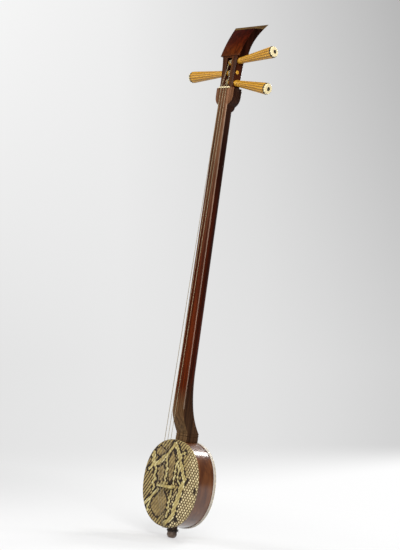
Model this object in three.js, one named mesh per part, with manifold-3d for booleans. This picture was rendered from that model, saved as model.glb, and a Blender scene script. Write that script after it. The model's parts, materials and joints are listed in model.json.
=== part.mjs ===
// A sanxian: a long-necked lute with three strings, an oval skin-covered drum and no frets.
//
// All sizes are millimetres. +Z runs up the neck, the front skin faces -Y and +X is the side
// with two tuning pegs. The origin is the lowest point of the tail pin, on the drum's mid plane.

import * as THREE from 'three';
import { mergeVertices } from 'three/addons/utils/BufferGeometryUtils.js';
import Module from 'manifold-3d';

const wasm = await Module();
wasm.setup();

// Fits shared by every seat
const seatGap = 0.3;          // between two pieces that are glued or pressed together
const cutOverrun = 2;         // how far a cutter passes through the face it opens

// Drum: four curved boards with a skin glued over each open face
const drumWidth = 141;
const drumHeight = 156.2;
const drumDepth = 46.5;
const boardThickness = 11;
const skinThickness = 0.9;
const skinEdgeRadius = 1.8;
const frontSkirt = 2.4;
const backSkirt = 6.6;
const ovalPower = 2.2;        // 2 is an ellipse, more is squarer
const ovalSteps = 56;

// Tail pin and the spike that joins it to the neck through the drum
const tailPinLength = 19.8;
const tailPinDiameter = 18.4;
const tailPinWaist = 17.2;
const tailPinWaistStart = 9;
const tailPinDomeHeight = 7.4;
const tailPinFlatDiameter = 5; // worn flat under the dome
const tailSocketDepth = 11;
const spikeWidth = 14;
const spikeTenonDiameter = 11;
const spikeMortiseDepth = 24;
const spikeShoulderClearance = 1.5; // above the bottom board, whose inside is curved
const roundSides = 24;

// Neck, measured from the top of the drum
const neckLength = 643;     // drum to the middle of the nut
const neckProud = 5.75;        // its flat front stands this far ahead of the skin
const neckWidthAtNut = 23.6;
const neckWidthAtHeel = 28.4;
const neckDepthAtNut = 21.2;
const neckDepthAtHeel = 24;
const arrisChamfer = 1.2;
const cheekShare = 0.42;      // straight part of the neck's side, as a share of its depth
const backSteps = 16;

// Heel: the neck sweeps back to a square collar that sits on the drum
const collarHeight = 14;
const collarWidth = 28.6;
const collarFrontInset = 11;  // behind the front skin
const collarDepth = 32;
const collarFootSink = 9;     // stock below the drum's crown, before its curve is cut away
const heelFrontHeight = 35;
const heelBackHeight = 110;
const heelSteps = 16;
const beadHeight = 1.1;
const beadInset = 0.8;
const beadSpacing = 4.4;

// Shield-shaped shoulder below the nut
const shieldWidth = 44.4;
const shieldLand = 14.4;      // straight sides
const shieldRound = 16.4;     // rounded foot, seen from the front
const shieldTopDepth = 26;
const shieldChinDepth = 26;
const shieldChinHeight = 30;
const shieldBackHeight = 43;
const shieldSteps = 12;
const lobeFallShare = 0.1;    // how far its lobes lean back from the neck's front
const lobeTuckShare = 0.98;   // where they have run out, they end just inside the neck

// Pegbox, an open slot between two cheeks
const pegboxLength = 59;
const pegboxWidth = 32;
const pegboxTopWidth = 39;
const pegboxSetBack = 2.4;    // behind the neck's front
const pegboxDepth = 21.6;
const pegboxSteps = 6;
const slotWidth = 11.8;
const slotAboveNut = 3.2;
const slotLength = 52.6;
const headTenonLength = 20;   // a tenon on the pegbox's foot goes into the shoulder
const headTenonWidth = 16;
const headTenonThickness = 12;
const headTenonInset = 5;     // behind the neck's front

// Head blade, a spade that curls backwards and ends in a slanted face
const bladeFootWidth = 47.2;
const bladeTopWidth = 53;
const bladeRise = 74;         // pegbox top to the highest edge
const bladeFrontRise = 62;    // pegbox top to the front edge of the end face
const bladeFootInset = 0.6;   // its foot starts behind the pegbox's front
const bladeFootDepth = 25.4;
const bladeFrontReach = 31;   // from the neck's front back to the end face's front edge
const bladeBackReach = 64;    // from the neck's front back to the end face's rear edge
const bladeFrontBulge = 11;  // where the front curve's pull point lies, behind the neck's front
const bladeBackBulge = 23.6;
const bladeBackPullShare = 0.43; // its height, as a share of the blade's rise
const bladeSteps = 12;
const bladeChamfer = 1;
const facingHeight = 4.6;     // light facing on the blade's end, at its front
const facingSlope = THREE.MathUtils.degToRad(11.5); // its joint rises to the back

// Nut and strings
const nutWidth = 25;
const nutThickness = 2.2;
const nutProud = 2.4;
const nutSeatDepth = 1.8;
const stringDiameters = [1, 0.9, 0.8];
const stringPitchAtNut = 6.6;
const stringPitchAtBridge = 8;
const stringPitchAtTail = 2.8;
const stringSides = 8;

// Bridge, a small bamboo arch that only the strings hold down
const bridgeAboveDrumFoot = 71.6;
const bridgeShift = -4;        // it stands off the drum's middle
const bridgeWidth = 28;
const bridgeTopWidth = 21;
const bridgeHeight = 17.4;
const bridgeFootThickness = 6;
const bridgeTopThickness = 2.6;
const bridgeFootWidth = 8;
const bridgeFootHeight = 4;
const bridgeArchRise = 8.4;

// Tuning pegs: a tapered shaft and a reeded handle, with a horn ring, a bone cap and a horn stud
const pegShaftRootDiameter = 10.4;
const pegShaftTipDiameter = 7.6;
const pegTipProud = 1.2;
const pegTipShare = 0.9;        // radius of its end, as a share of the shaft
const pegBehindFront = 10.6;  // shaft axis behind the cheeks' front faces
const pegHandleGap = 1.4;     // handle's shoulder to the cheek
const pegHandleLength = 80;
const pegNeckDiameter = 12;
const pegEndDiameter = 22.8;
const pegShoulderLength = 2.4;
const pegReeds = 12;
const stepsPerReed = 4;
const reedDepthShare = 0.13;
const pegRingThickness = 1.4;
const pegRingDiameter = 22.6;
const pegCapThickness = 3;
const pegCapDiameter = 21.2;
const capNotchShare = 0.2;
const capRimHeightShare = 0.6;      // where the rim ends and the dome begins
const capShoulderHeightShare = 0.9;
const capShoulderShare = 0.95;      // radius there, as a share of the rim
const capFaceShare = 0.84;
const noseShares = [0.8, 0.95]; // radius of the handle's rounded end, as shares of its neck
const studHeadDiameter = 7;
const studShankDiameter = 2.8;
const studHeadHeight = 1;
const studRimHeightShare = 0.6;
const studRimShare = 0.86;
const studCrownShare = 0.45;
const studShankLength = 9;
const lowerPegAboveNut = 12.4;
const middlePegAboveLower = 16.7;
const upperPegAboveMiddle = 19.5;
const lowerPegTilt = THREE.MathUtils.degToRad(-10.1);
const middlePegTilt = THREE.MathUtils.degToRad(-1.4);
const upperPegTilt = THREE.MathUtils.degToRad(7.6);

// String windings
const windingTurns = 3;
const windingGap = 0.5;       // between neighbouring turns
const windingSteps = 24;      // in one turn
const windingSides = 6;
const hitchTurns = 0.55;      // the last part turn, which belongs to the taut string
const tailCordDiameter = 1.4;
const tailCordTurns = 2;
const tailCordBelowDrum = 2.8;

// Heights and planes that follow from the sizes above
const drumBottom = tailPinLength - skinThickness - seatGap;
const drumMiddle = drumBottom + drumHeight / 2;
const drumTop = drumBottom + drumHeight;
const skinFront = -drumDepth / 2;
const skinBack = drumDepth / 2;
const boardHalfWidth = drumWidth / 2 - skinThickness - seatGap;
const boardHalfHeight = drumHeight / 2 - skinThickness - seatGap;
const boardHalfDepth = drumDepth / 2 - skinThickness - seatGap;
const boardTop = drumMiddle + boardHalfHeight;
const neckFront = skinFront - neckProud;
const nutMiddle = drumTop + neckLength;
const nutCrown = neckFront - nutProud;
const shieldTop = nutMiddle;
const pegboxTop = nutMiddle + pegboxLength;
const collarTop = drumTop + collarHeight;
const collarFront = skinFront + collarFrontInset;
const bridgeMiddle = drumBottom + bridgeAboveDrumFoot;
const bridgeFoot = skinFront - seatGap;
const bridgeCrown = bridgeFoot - bridgeHeight;

const model = new THREE.Group();

// Finishes, as colour and roughness
const finishes = {
  redwood: ['#4a2213', 0.34],
  redwoodDark: ['#3a120b', 0.3],
  endWood: ['#7d6040', 0.5],
  lacquer: ['#633a25', 0.22],
  skin: ['#a3905e', 0.6],
  rawSkin: ['#b8aca0', 0.7],
  bone: ['#f0e2bd', 0.45],
  boxwood: ['#bb8a34', 0.42],
  horn: ['#2e2715', 0.3],
  bamboo: ['#c3a565', 0.5],
  string: ['#cfc8bc', 0.4],
  tailCord: ['#2b231d', 0.8],
};

function place(name, geometry, finish) {
  const [color, roughness] = finishes[finish];
  const material = new THREE.MeshStandardMaterial({ color, roughness, metalness: 0, flatShading: true });
  const mesh = new THREE.Mesh(geometry, material);
  mesh.name = name;
  model.add(mesh);
  return mesh;
}

// Turns faces outwards, by the sign of the enclosed volume.
function outward(points, faces) {
  let volume = 0;
  const [a, b, c] = [new THREE.Vector3(), new THREE.Vector3(), new THREE.Vector3()];
  for (let i = 0; i < faces.length; i += 3) {
    a.fromArray(points, 3 * faces[i]);
    b.fromArray(points, 3 * faces[i + 1]);
    c.fromArray(points, 3 * faces[i + 2]);
    volume += a.dot(b.cross(c));
  }
  return volume < 0 ? faces.reverse() : faces;
}

// Skins a row of rings into one closed body. Each ring is a list of as many points, and the
// first and last are closed by a fan round their middle.
function loft(rings) {
  const count = rings[0].length;
  const points = rings.flat().flatMap((point) => point.toArray());
  const faces = [];
  for (let r = 0; r < rings.length - 1; r++) {
    for (let i = 0; i < count; i++) {
      const here = r * count + i;
      const next = r * count + (i + 1) % count;
      faces.push(here, next, next + count, here, next + count, here + count);
    }
  }
  for (const r of [0, rings.length - 1]) {
    const hub = points.length / 3;
    const middle = rings[r].reduce((sum, point) => sum.add(point), new THREE.Vector3());
    points.push(...middle.divideScalar(count).toArray());
    for (let i = 0; i < count; i++) {
      const here = r * count + i;
      const next = r * count + (i + 1) % count;
      faces.push(...(r === 0 ? [next, here, hub] : [here, next, hub]));
    }
  }
  const geometry = new THREE.BufferGeometry();
  geometry.setAttribute('position', new THREE.Float32BufferAttribute(points, 3));
  geometry.setIndex(outward(points, faces));
  return geometry;
}

// Shares the vertices of a geometry between its faces, and turns the faces outwards.
function tidied(geometry) {
  const bare = geometry.clone();
  bare.deleteAttribute('normal');
  bare.deleteAttribute('uv');
  const merged = mergeVertices(bare);
  merged.setIndex(outward(merged.attributes.position.array, Array.from(merged.index.array)));
  return merged;
}

function solid(geometry) {
  const merged = tidied(geometry);
  return new wasm.Manifold(new wasm.Mesh({
    numProp: 3,
    vertProperties: new Float32Array(merged.attributes.position.array),
    triVerts: new Uint32Array(merged.index.array),
  }));
}

function geometryOf(body) {
  const { vertProperties, triVerts } = body.getMesh();
  const geometry = new THREE.BufferGeometry();
  geometry.setAttribute('position', new THREE.BufferAttribute(vertProperties, 3));
  geometry.setIndex(new THREE.BufferAttribute(triVerts, 1));
  return geometry;
}

function cut(geometry, ...cutters) {
  return geometryOf(cutters.reduce((body, cutter) => body.subtract(solid(cutter)), solid(geometry)));
}

function join(first, ...others) {
  return geometryOf(others.reduce((body, other) => body.add(solid(other)), solid(first)));
}

// A box from its lowest to its highest corner.
function block(low, high) {
  const size = high.map((value, i) => value - low[i]);
  const geometry = new THREE.BoxGeometry(...size);
  return geometry.translate(...low.map((value, i) => value + size[i] / 2));
}

function powerCos(turn, power) {
  const c = Math.cos(turn);
  return Math.sign(c) * Math.abs(c) ** (2 / power);
}

function powerSin(turn, power) {
  const s = Math.sin(turn);
  return Math.sign(s) * Math.abs(s) ** (2 / power);
}

// The drum's oval, grown or shrunk all round, in the plane at depth y.
function ovalPoint(turn, halfWidth, halfHeight, y) {
  return new THREE.Vector3(
    halfWidth * powerCos(turn, ovalPower),
    y,
    drumMiddle + halfHeight * powerSin(turn, ovalPower),
  );
}

function ovalRing(halfWidth, halfHeight, y) {
  return Array.from({ length: ovalSteps }, (_, i) => (
    ovalPoint(2 * Math.PI * i / ovalSteps, halfWidth, halfHeight, y)
  ));
}

// One curved board of the drum, between two turns of the oval.
function board(startTurn, endTurn) {
  const shape = new THREE.Shape();
  const steps = ovalSteps / 4;
  const jointGap = seatGap / 2 / boardHalfHeight;
  const turnAt = (i) => THREE.MathUtils.lerp(startTurn + jointGap, endTurn - jointGap, i / steps);
  const edge = (i, inset) => {
    const p = ovalPoint(turnAt(i), boardHalfWidth - inset, boardHalfHeight - inset, 0);
    return [p.x, p.z];
  };
  shape.moveTo(...edge(0, 0));
  for (let i = 1; i <= steps; i++) shape.lineTo(...edge(i, 0));
  for (let i = steps; i >= 0; i--) shape.lineTo(...edge(i, boardThickness));
  shape.closePath();
  const geometry = new THREE.ExtrudeGeometry(shape, { depth: 2 * boardHalfDepth, bevelEnabled: false });
  return geometry.rotateX(Math.PI / 2).translate(0, boardHalfDepth, 0);
}

function makeDrumFrame() {
  const spikeHole = block(
    [-spikeWidth / 2 - seatGap, -spikeWidth / 2 - seatGap, drumMiddle],
    [spikeWidth / 2 + seatGap, spikeWidth / 2 + seatGap, drumTop + cutOverrun],
  );
  const tenonHole = new THREE.CylinderGeometry(
    spikeTenonDiameter / 2 + seatGap, spikeTenonDiameter / 2 + seatGap, drumHeight / 2, roundSides,
  );
  tenonHole.rotateX(Math.PI / 2).translate(0, 0, drumBottom + drumHeight / 4);
  const corner = Math.PI / 4;
  place('drum_board_right', board(-corner, corner), 'lacquer');
  place('drum_board_top', cut(board(corner, 3 * corner), spikeHole), 'lacquer');
  place('drum_board_left', board(3 * corner, 5 * corner), 'lacquer');
  place('drum_board_bottom', cut(board(5 * corner, 7 * corner), tenonHole), 'lacquer');
}

// A skin: a flat drumhead whose rim turns over the boards' edge as a short skirt.
function skin(face, skirt) {
  const inwards = -Math.sign(face);
  const halfWidth = drumWidth / 2;
  const halfHeight = drumHeight / 2;
  const ring = (inset, depth) => ovalRing(halfWidth - inset, halfHeight - inset, face + inwards * depth);
  const soft = skinEdgeRadius * (1 - Math.SQRT1_2);
  return loft([
    ring(skinEdgeRadius, 0),
    ring(soft, soft),
    ring(0, skinEdgeRadius),
    ring(0, skirt),
    ring(skinThickness, skirt),
    ring(skinThickness, skinThickness),
  ]);
}

// One level section of the neck: a flat front whose edges fall away, straight cheeks and a
// rounded back. Left out, the fall is a plain broken arris.
function neckRing({ z, halfWidth, front, back, straightShare, squareness, flat, fall = arrisChamfer }) {
  const shoulder = front + straightShare * (back - front);
  const level = Math.min(flat ?? halfWidth, halfWidth - arrisChamfer);
  const ring = [
    new THREE.Vector3(-level, front, z),
    new THREE.Vector3(level, front, z),
    new THREE.Vector3(halfWidth, front + fall, z),
  ];
  for (let i = 0; i <= backSteps; i++) {
    const turn = Math.PI * i / backSteps;
    const x = halfWidth * powerCos(turn, squareness);
    const y = shoulder + (back - shoulder) * Math.max(powerSin(turn, squareness), 0);
    ring.push(new THREE.Vector3(x, y, z));
  }
  ring.push(new THREE.Vector3(-halfWidth, front + fall, z));
  return ring;
}

const roundBack = 2.1;
const blockBack = 8;
const frontSweepPower = 1.4;
const backSweepPower = 3.4;

// Width and depth of the plain neck at a height.
function neckAt(z) {
  const share = THREE.MathUtils.clamp((z - collarTop) / (nutMiddle - collarTop), 0, 1);
  return {
    halfWidth: THREE.MathUtils.lerp(neckWidthAtHeel, neckWidthAtNut, share) / 2,
    depth: THREE.MathUtils.lerp(neckDepthAtHeel, neckDepthAtNut, share),
  };
}

// The heel: front and back sweep away from the strings, each by its own power curve.
function heelRing(share) {
  const z = collarTop + heelBackHeight * (1 - share);
  const { halfWidth, depth } = neckAt(z);
  const below = Math.max(0, collarTop + heelFrontHeight - z) / heelFrontHeight;
  const front = neckFront + (collarFront - neckFront) * below ** frontSweepPower;
  const plainBack = neckFront + depth;
  const back = plainBack + (collarFront + collarDepth - plainBack) * share ** backSweepPower;
  return neckRing({
    z,
    halfWidth: THREE.MathUtils.lerp(halfWidth, collarWidth / 2, share),
    front,
    back,
    straightShare: THREE.MathUtils.lerp(cheekShare, 1 / 2, share),
    squareness: THREE.MathUtils.lerp(roundBack, blockBack, share ** 2),
  });
}

// The collar, with two sunk beads round it.
function collarRings() {
  const at = (z, inset) => neckRing({
    z,
    halfWidth: collarWidth / 2 - inset,
    front: collarFront + inset,
    back: collarFront + collarDepth - inset,
    straightShare: 1 / 2,
    squareness: blockBack,
  });
  const rings = [];
  for (const bead of [1, 2]) {
    const top = collarTop - (bead - 1) * beadSpacing - beadHeight;
    rings.push(at(top, 0), at(top - beadHeight / 2, beadInset), at(top - beadHeight, 0));
  }
  rings.push(at(drumTop - collarFootSink, 0));
  return rings;
}

// The shoulder: a shield from the front, a rounded chin from the side.
function shieldRing(share) {
  const z = shieldTop - shieldBackHeight * share;
  const { halfWidth, depth } = neckAt(z);
  const round = THREE.MathUtils.clamp((shieldTop - shieldLand - z) / shieldRound, 0, 1);
  const chinLength = shieldBackHeight - shieldChinHeight;
  const chinFall = THREE.MathUtils.clamp((shieldTop - shieldChinHeight - z) / chinLength, 0, 1);
  const chinShare = Math.min(1, (shieldTop - z) / shieldChinHeight);
  const fullDepth = THREE.MathUtils.lerp(shieldTopDepth, shieldChinDepth, chinShare);
  const within = halfWidth * lobeTuckShare;
  const lobe = (shieldWidth / 2 - within) * Math.sqrt(1 - round ** 2);
  const tuckedDepth = depth * lobeTuckShare;
  return neckRing({
    z,
    halfWidth: within + lobe,
    flat: within,
    fall: arrisChamfer + lobe * lobeFallShare,
    front: neckFront,
    back: neckFront + tuckedDepth + (fullDepth - tuckedDepth) * Math.sqrt(1 - chinFall ** 2),
    straightShare: cheekShare,
    squareness: THREE.MathUtils.lerp(blockBack, roundBack, share ** 2),
  });
}

// Half of the pegbox's width, which flares towards the blade.
function cheekAt(z) {
  const flarePower = 3;
  const share = (z - nutMiddle) / pegboxLength;
  return (pegboxWidth + (pegboxTopWidth - pegboxWidth) * share ** flarePower) / 2;
}

function pegboxRing(z) {
  return neckRing({
    z,
    halfWidth: cheekAt(z),
    front: neckFront + pegboxSetBack,
    back: neckFront + pegboxSetBack + pegboxDepth,
    straightShare: 1 / 2,
    squareness: blockBack,
  });
}

// A tuning peg's place: the point where its axis crosses the mid plane, the direction towards
// its handle, and two directions square to that, one to the front and one upwards.
function pegFrame(aboveNut, tilt, side) {
  const along = new THREE.Vector3(side * Math.cos(tilt), 0, Math.sin(tilt));
  const ahead = new THREE.Vector3(0, -1, 0);
  const up = new THREE.Vector3(-side * Math.sin(tilt), 0, Math.cos(tilt));
  const heart = new THREE.Vector3(0, neckFront + pegBehindFront, nutMiddle + aboveNut);
  return { heart, along, ahead, up, side };
}

const pegFrames = [
  pegFrame(lowerPegAboveNut, lowerPegTilt, 1),
  pegFrame(lowerPegAboveNut + middlePegAboveLower, middlePegTilt, -1),
  pegFrame(lowerPegAboveNut + middlePegAboveLower + upperPegAboveMiddle, upperPegTilt, 1),
];

function pegPoint(frame, distance, radius, turn) {
  return frame.heart.clone()
    .addScaledVector(frame.along, distance)
    .addScaledVector(frame.ahead, radius * Math.cos(turn))
    .addScaledVector(frame.up, radius * Math.sin(turn));
}

// The shaft tapers evenly from the handle's side to the far cheek.
function shaftRadius(frame, distance) {
  const cheek = cheekAt(frame.heart.z);
  const share = (distance + cheek) / (2 * cheek);
  return THREE.MathUtils.lerp(pegShaftTipDiameter, pegShaftRootDiameter, share) / 2;
}

function pegHole(frame) {
  const reach = pegboxTopWidth / 2 + cutOverrun;
  const ringAt = (distance) => Array.from({ length: roundSides }, (_, i) => (
    pegPoint(frame, distance, shaftRadius(frame, distance) + seatGap, 2 * Math.PI * i / roundSides)
  ));
  return loft([ringAt(-reach), ringAt(reach)]);
}

function makeNeck() {
  const heel = Array.from({ length: heelSteps }, (_, i) => heelRing(1 - i / heelSteps));
  const plain = neckAt(nutMiddle);
  const top = neckRing({
    z: nutMiddle,
    halfWidth: plain.halfWidth,
    front: neckFront,
    back: neckFront + plain.depth,
    straightShare: cheekShare,
    squareness: roundBack,
  });
  const shaft = loft([...collarRings().reverse(), ...heel, heelRing(0), top]);
  const shield = loft(Array.from({ length: shieldSteps + 1 }, (_, i) => shieldRing(i / shieldSteps)));
  const tenonFront = neckFront + headTenonInset;
  const headMortise = block(
    [-headTenonWidth / 2 - seatGap, tenonFront - seatGap, nutMiddle - headTenonLength - seatGap],
    [headTenonWidth / 2 + seatGap, tenonFront + headTenonThickness + seatGap, pegboxTop],
  );
  const spikeMortise = block(
    [-spikeWidth / 2 - seatGap, -spikeWidth / 2 - seatGap, drumMiddle],
    [spikeWidth / 2 + seatGap, spikeWidth / 2 + seatGap, boardTop + spikeMortiseDepth + seatGap],
  );
  const drumSeat = loft([
    ovalRing(boardHalfWidth + seatGap, boardHalfHeight + seatGap, skinFront),
    ovalRing(boardHalfWidth + seatGap, boardHalfHeight + seatGap, skinBack),
  ]);
  const skirtSeat = loft([
    ovalRing(drumWidth / 2 + seatGap, drumHeight / 2 + seatGap, skinBack - backSkirt - seatGap),
    ovalRing(drumWidth / 2 + seatGap, drumHeight / 2 + seatGap, skinBack),
  ]);
  const seats = [headMortise, spikeMortise, drumSeat, skirtSeat, nutSeat()];
  place('neck', cut(join(shaft, shield), ...seats), 'redwood');
}

function nutSeat() {
  return block(
    [-nutWidth / 2 - seatGap, neckFront - cutOverrun, nutMiddle - nutThickness / 2 - seatGap],
    [nutWidth / 2 + seatGap, neckFront + nutSeatDepth + seatGap, nutMiddle + nutThickness / 2 + seatGap],
  );
}

// The blade over the pegbox. Each section is a slanted quadrilateral with broken corners,
// between a point on the front curve and one on the back curve.
function blade() {
  const foot = pegboxTop;
  const frontCurve = new THREE.QuadraticBezierCurve(
    new THREE.Vector2(neckFront + bladeFootInset, foot),
    new THREE.Vector2(neckFront + bladeFrontBulge, foot + bladeFrontRise / 2),
    new THREE.Vector2(neckFront + bladeFrontReach, pegboxTop + bladeFrontRise),
  );
  const backCurve = new THREE.QuadraticBezierCurve(
    new THREE.Vector2(neckFront + bladeFootInset + bladeFootDepth, foot),
    new THREE.Vector2(neckFront + bladeBackBulge, foot + bladeRise * bladeBackPullShare),
    new THREE.Vector2(neckFront + bladeBackReach, pegboxTop + bladeRise),
  );
  const rings = [];
  for (let i = 0; i <= bladeSteps; i++) {
    const share = i / bladeSteps;
    const halfWidth = THREE.MathUtils.lerp(bladeFootWidth, bladeTopWidth, share) / 2;
    const front = frontCurve.getPoint(share);
    const back = backCurve.getPoint(share);
    const across = back.clone().sub(front).setLength(bladeChamfer);
    const corner = (x, p) => new THREE.Vector3(x, p.x, p.y);
    const frontIn = front.clone().add(across);
    const backIn = back.clone().sub(across);
    rings.push([
      corner(-halfWidth + bladeChamfer, front), corner(halfWidth - bladeChamfer, front),
      corner(halfWidth, frontIn), corner(halfWidth, backIn),
      corner(halfWidth - bladeChamfer, back), corner(-halfWidth + bladeChamfer, back),
      corner(-halfWidth, backIn), corner(-halfWidth, frontIn),
    ]);
  }
  return loft(rings);
}

// A wedge with one face in the slanted joint under the blade's facing, moved by an offset. It
// lies over that joint by a height, or under it where the height is negative.
function besideJoint(offset, height) {
  const jointFront = neckFront + bladeFrontReach;
  const jointHeight = pegboxTop + bladeFrontRise - facingHeight + offset;
  const levelAt = (y) => jointHeight + (y - jointFront) * Math.tan(facingSlope);
  const back = neckFront + bladeBackReach + cutOverrun;
  const ring = (x) => [
    new THREE.Vector3(x, neckFront, levelAt(neckFront)),
    new THREE.Vector3(x, back, levelAt(back)),
    new THREE.Vector3(x, back, levelAt(back) + height),
    new THREE.Vector3(x, neckFront, levelAt(neckFront) + height),
  ];
  return loft([ring(-bladeTopWidth), ring(bladeTopWidth)]);
}

function makeHead() {
  const foot = nutMiddle + seatGap;
  const rings = Array.from({ length: pegboxSteps + 1 }, (_, i) => (
    pegboxRing(THREE.MathUtils.lerp(foot, pegboxTop, i / pegboxSteps))
  ));
  const slotBottom = nutMiddle + slotAboveNut;
  const slot = block(
    [-slotWidth / 2, neckFront - cutOverrun, slotBottom],
    [slotWidth / 2, neckFront + pegboxSetBack + pegboxDepth + cutOverrun, slotBottom + slotLength],
  );
  const tenon = block(
    [-headTenonWidth / 2, neckFront + headTenonInset, nutMiddle - headTenonLength],
    [headTenonWidth / 2, neckFront + headTenonInset + headTenonThickness, nutMiddle + slotAboveNut / 2],
  );
  const body = join(loft(rings), blade(), tenon);
  const over = besideJoint(0, bladeRise);
  place('head', cut(body, over, slot, nutSeat(), ...pegFrames.map(pegHole)), 'redwoodDark');
  place('head_facing', cut(blade(), besideJoint(seatGap, -2 * bladeRise)), 'endWood');
}

// Outline of a string-bearing edge, from left to right, with a round notch for each string.
function notchedEdge(shape, crown, pitch) {
  for (const i of [0, 1, 2]) {
    const x = (i - 1) * pitch;
    const radius = stringDiameters[i] / 2 + seatGap;
    shape.lineTo(x - radius, crown);
    shape.absarc(x, crown, radius, Math.PI, 2 * Math.PI, false);
  }
}

// Extrudes an outline drawn in X and height, so that its height points to -Y and it is centred on z.
function standing(shape, base, thickness, z) {
  const geometry = new THREE.ExtrudeGeometry(shape, {
    depth: thickness, bevelEnabled: false, curveSegments: stringSides,
  });
  return geometry.scale(1, -1, 1).translate(0, base, z - thickness / 2);
}

function makeNut() {
  const height = nutProud + nutSeatDepth;
  const shape = new THREE.Shape();
  shape.moveTo(nutWidth / 2, 0);
  shape.lineTo(-nutWidth / 2, 0);
  shape.lineTo(-nutWidth / 2, height);
  notchedEdge(shape, height, stringPitchAtNut);
  shape.lineTo(nutWidth / 2, height);
  shape.closePath();
  const geometry = standing(shape, neckFront + nutSeatDepth, nutThickness, nutMiddle);
  place('nut', tidied(geometry), 'bone');
}

function makeBridge() {
  const shape = new THREE.Shape();
  const foot = bridgeWidth / 2;
  const inner = foot - bridgeFootWidth;
  shape.moveTo(foot, 0);
  shape.lineTo(inner, 0);
  shape.quadraticCurveTo(inner, bridgeArchRise, 0, bridgeArchRise);
  shape.quadraticCurveTo(-inner, bridgeArchRise, -inner, 0);
  shape.lineTo(-foot, 0);
  shape.lineTo(-foot, bridgeFootHeight);
  shape.quadraticCurveTo(-bridgeTopWidth / 2, bridgeFootHeight, -bridgeTopWidth / 2, bridgeHeight);
  notchedEdge(shape, bridgeHeight, stringPitchAtBridge);
  shape.lineTo(bridgeTopWidth / 2, bridgeHeight);
  shape.quadraticCurveTo(bridgeTopWidth / 2, bridgeFootHeight, foot, bridgeFootHeight);
  shape.closePath();
  const slab = standing(shape, bridgeFoot, bridgeFootThickness, bridgeMiddle);
  // Both faces lean in, so the top is thinner than the feet.
  const overrun = bridgeFoot + cutOverrun;
  const lean = (bridgeFootThickness - bridgeTopThickness) / 2;
  const wedge = (side) => {
    const outer = bridgeMiddle + side * (bridgeFootThickness / 2 + cutOverrun);
    const ring = (x) => [
      new THREE.Vector3(x, bridgeFoot, bridgeMiddle + side * bridgeFootThickness / 2),
      new THREE.Vector3(x, overrun, outer),
      new THREE.Vector3(x, bridgeCrown - cutOverrun, outer),
      new THREE.Vector3(x, bridgeCrown, bridgeMiddle + side * (bridgeFootThickness / 2 - lean)),
    ];
    return loft([ring(-bridgeWidth), ring(bridgeWidth)]);
  };
  place('bridge', cut(slab, wedge(1), wedge(-1)).translate(bridgeShift, 0, 0), 'bamboo');
}

// A route that runs straight from point to point, and is sampled at its points.
class Route extends THREE.Curve {
  constructor(points) {
    super();
    this.points = points;
  }

  getPointAt(share) {
    return this.points[Math.round(share * (this.points.length - 1))].clone();
  }

  // Half way between the directions in which the route arrives and leaves.
  getTangentAt(share) {
    const i = Math.round(share * (this.points.length - 1));
    const here = this.points[i];
    const arriving = here.clone().sub(this.points[Math.max(i - 1, 0)]).normalize();
    const leaving = this.points[Math.min(i + 1, this.points.length - 1)].clone().sub(here).normalize();
    return arriving.add(leaving).normalize();
  }
}

function tube(points, diameter, sides) {
  const section = new THREE.Shape().absarc(0, 0, diameter / 2, 0, 2 * Math.PI);
  return tidied(new THREE.ExtrudeGeometry(section, {
    steps: points.length - 1, curveSegments: sides / 2, extrudePath: new Route(points),
  }));
}

// Where each string goes: the peg that winds it, its place across the slot, as a share of the
// slot's width, and the side to which its turns lie.
const stringPlans = [
  { peg: 2, acrossShare: -0.2, laySide: 1 },
  { peg: 0, acrossShare: 0.1, laySide: -1 },
  { peg: 1, acrossShare: 0.25, laySide: -1 },
];

function windingRadius(frame, diameter) {
  return shaftRadius(frame, slotWidth / 2) + seatGap + diameter / 2;
}

// Distance along the peg of the string's last part turn.
function hitchDistance(plan) {
  return pegFrames[plan.peg].side * plan.acrossShare * slotWidth;
}

// Points of the part turn round the shaft, starting where the string from the nut touches it.
function hitchPath(plan, from, diameter) {
  const frame = pegFrames[plan.peg];
  const radius = windingRadius(frame, diameter);
  const offset = from.clone().sub(frame.heart);
  const ahead = offset.dot(frame.ahead);
  const above = offset.dot(frame.up);
  const touch = Math.atan2(above, ahead) + Math.acos(radius / Math.hypot(ahead, above));
  const steps = Math.ceil(hitchTurns * windingSteps);
  return Array.from({ length: steps + 1 }, (_, i) => (
    pegPoint(frame, hitchDistance(plan), radius, touch + 2 * Math.PI * hitchTurns * i / steps)
  ));
}

function stringPath(i) {
  const plan = stringPlans[i];
  const diameter = stringDiameters[i];
  const spread = i - 1;
  const clear = diameter / 2 + seatGap;
  const beyondNut = new THREE.Vector3(
    spread * stringPitchAtNut, nutCrown, nutMiddle + nutThickness / 2 + seatGap,
  );
  const beforeNut = beyondNut.clone().setZ(nutMiddle - nutThickness / 2 - seatGap);
  const bridgeX = bridgeShift + spread * stringPitchAtBridge;
  const bridgeEdge = bridgeTopThickness / 2 + seatGap;
  const tailX = spread * stringPitchAtTail;
  return [
    ...hitchPath(plan, beyondNut, diameter).reverse(),
    beyondNut,
    beforeNut,
    new THREE.Vector3(bridgeX, bridgeCrown, bridgeMiddle + bridgeEdge),
    new THREE.Vector3(bridgeX, bridgeCrown, bridgeMiddle - bridgeEdge),
    new THREE.Vector3(tailX, skinFront - clear, drumBottom + skinEdgeRadius),
    new THREE.Vector3(tailX, skinFront - clear * Math.SQRT1_2, drumBottom - clear * Math.SQRT1_2 / 2),
    new THREE.Vector3(tailX, skinFront + skinEdgeRadius, drumBottom - clear),
    new THREE.Vector3(tailX, -tailPinDiameter / 2 - clear, drumBottom - clear - diameter / 2),
  ];
}

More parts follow.
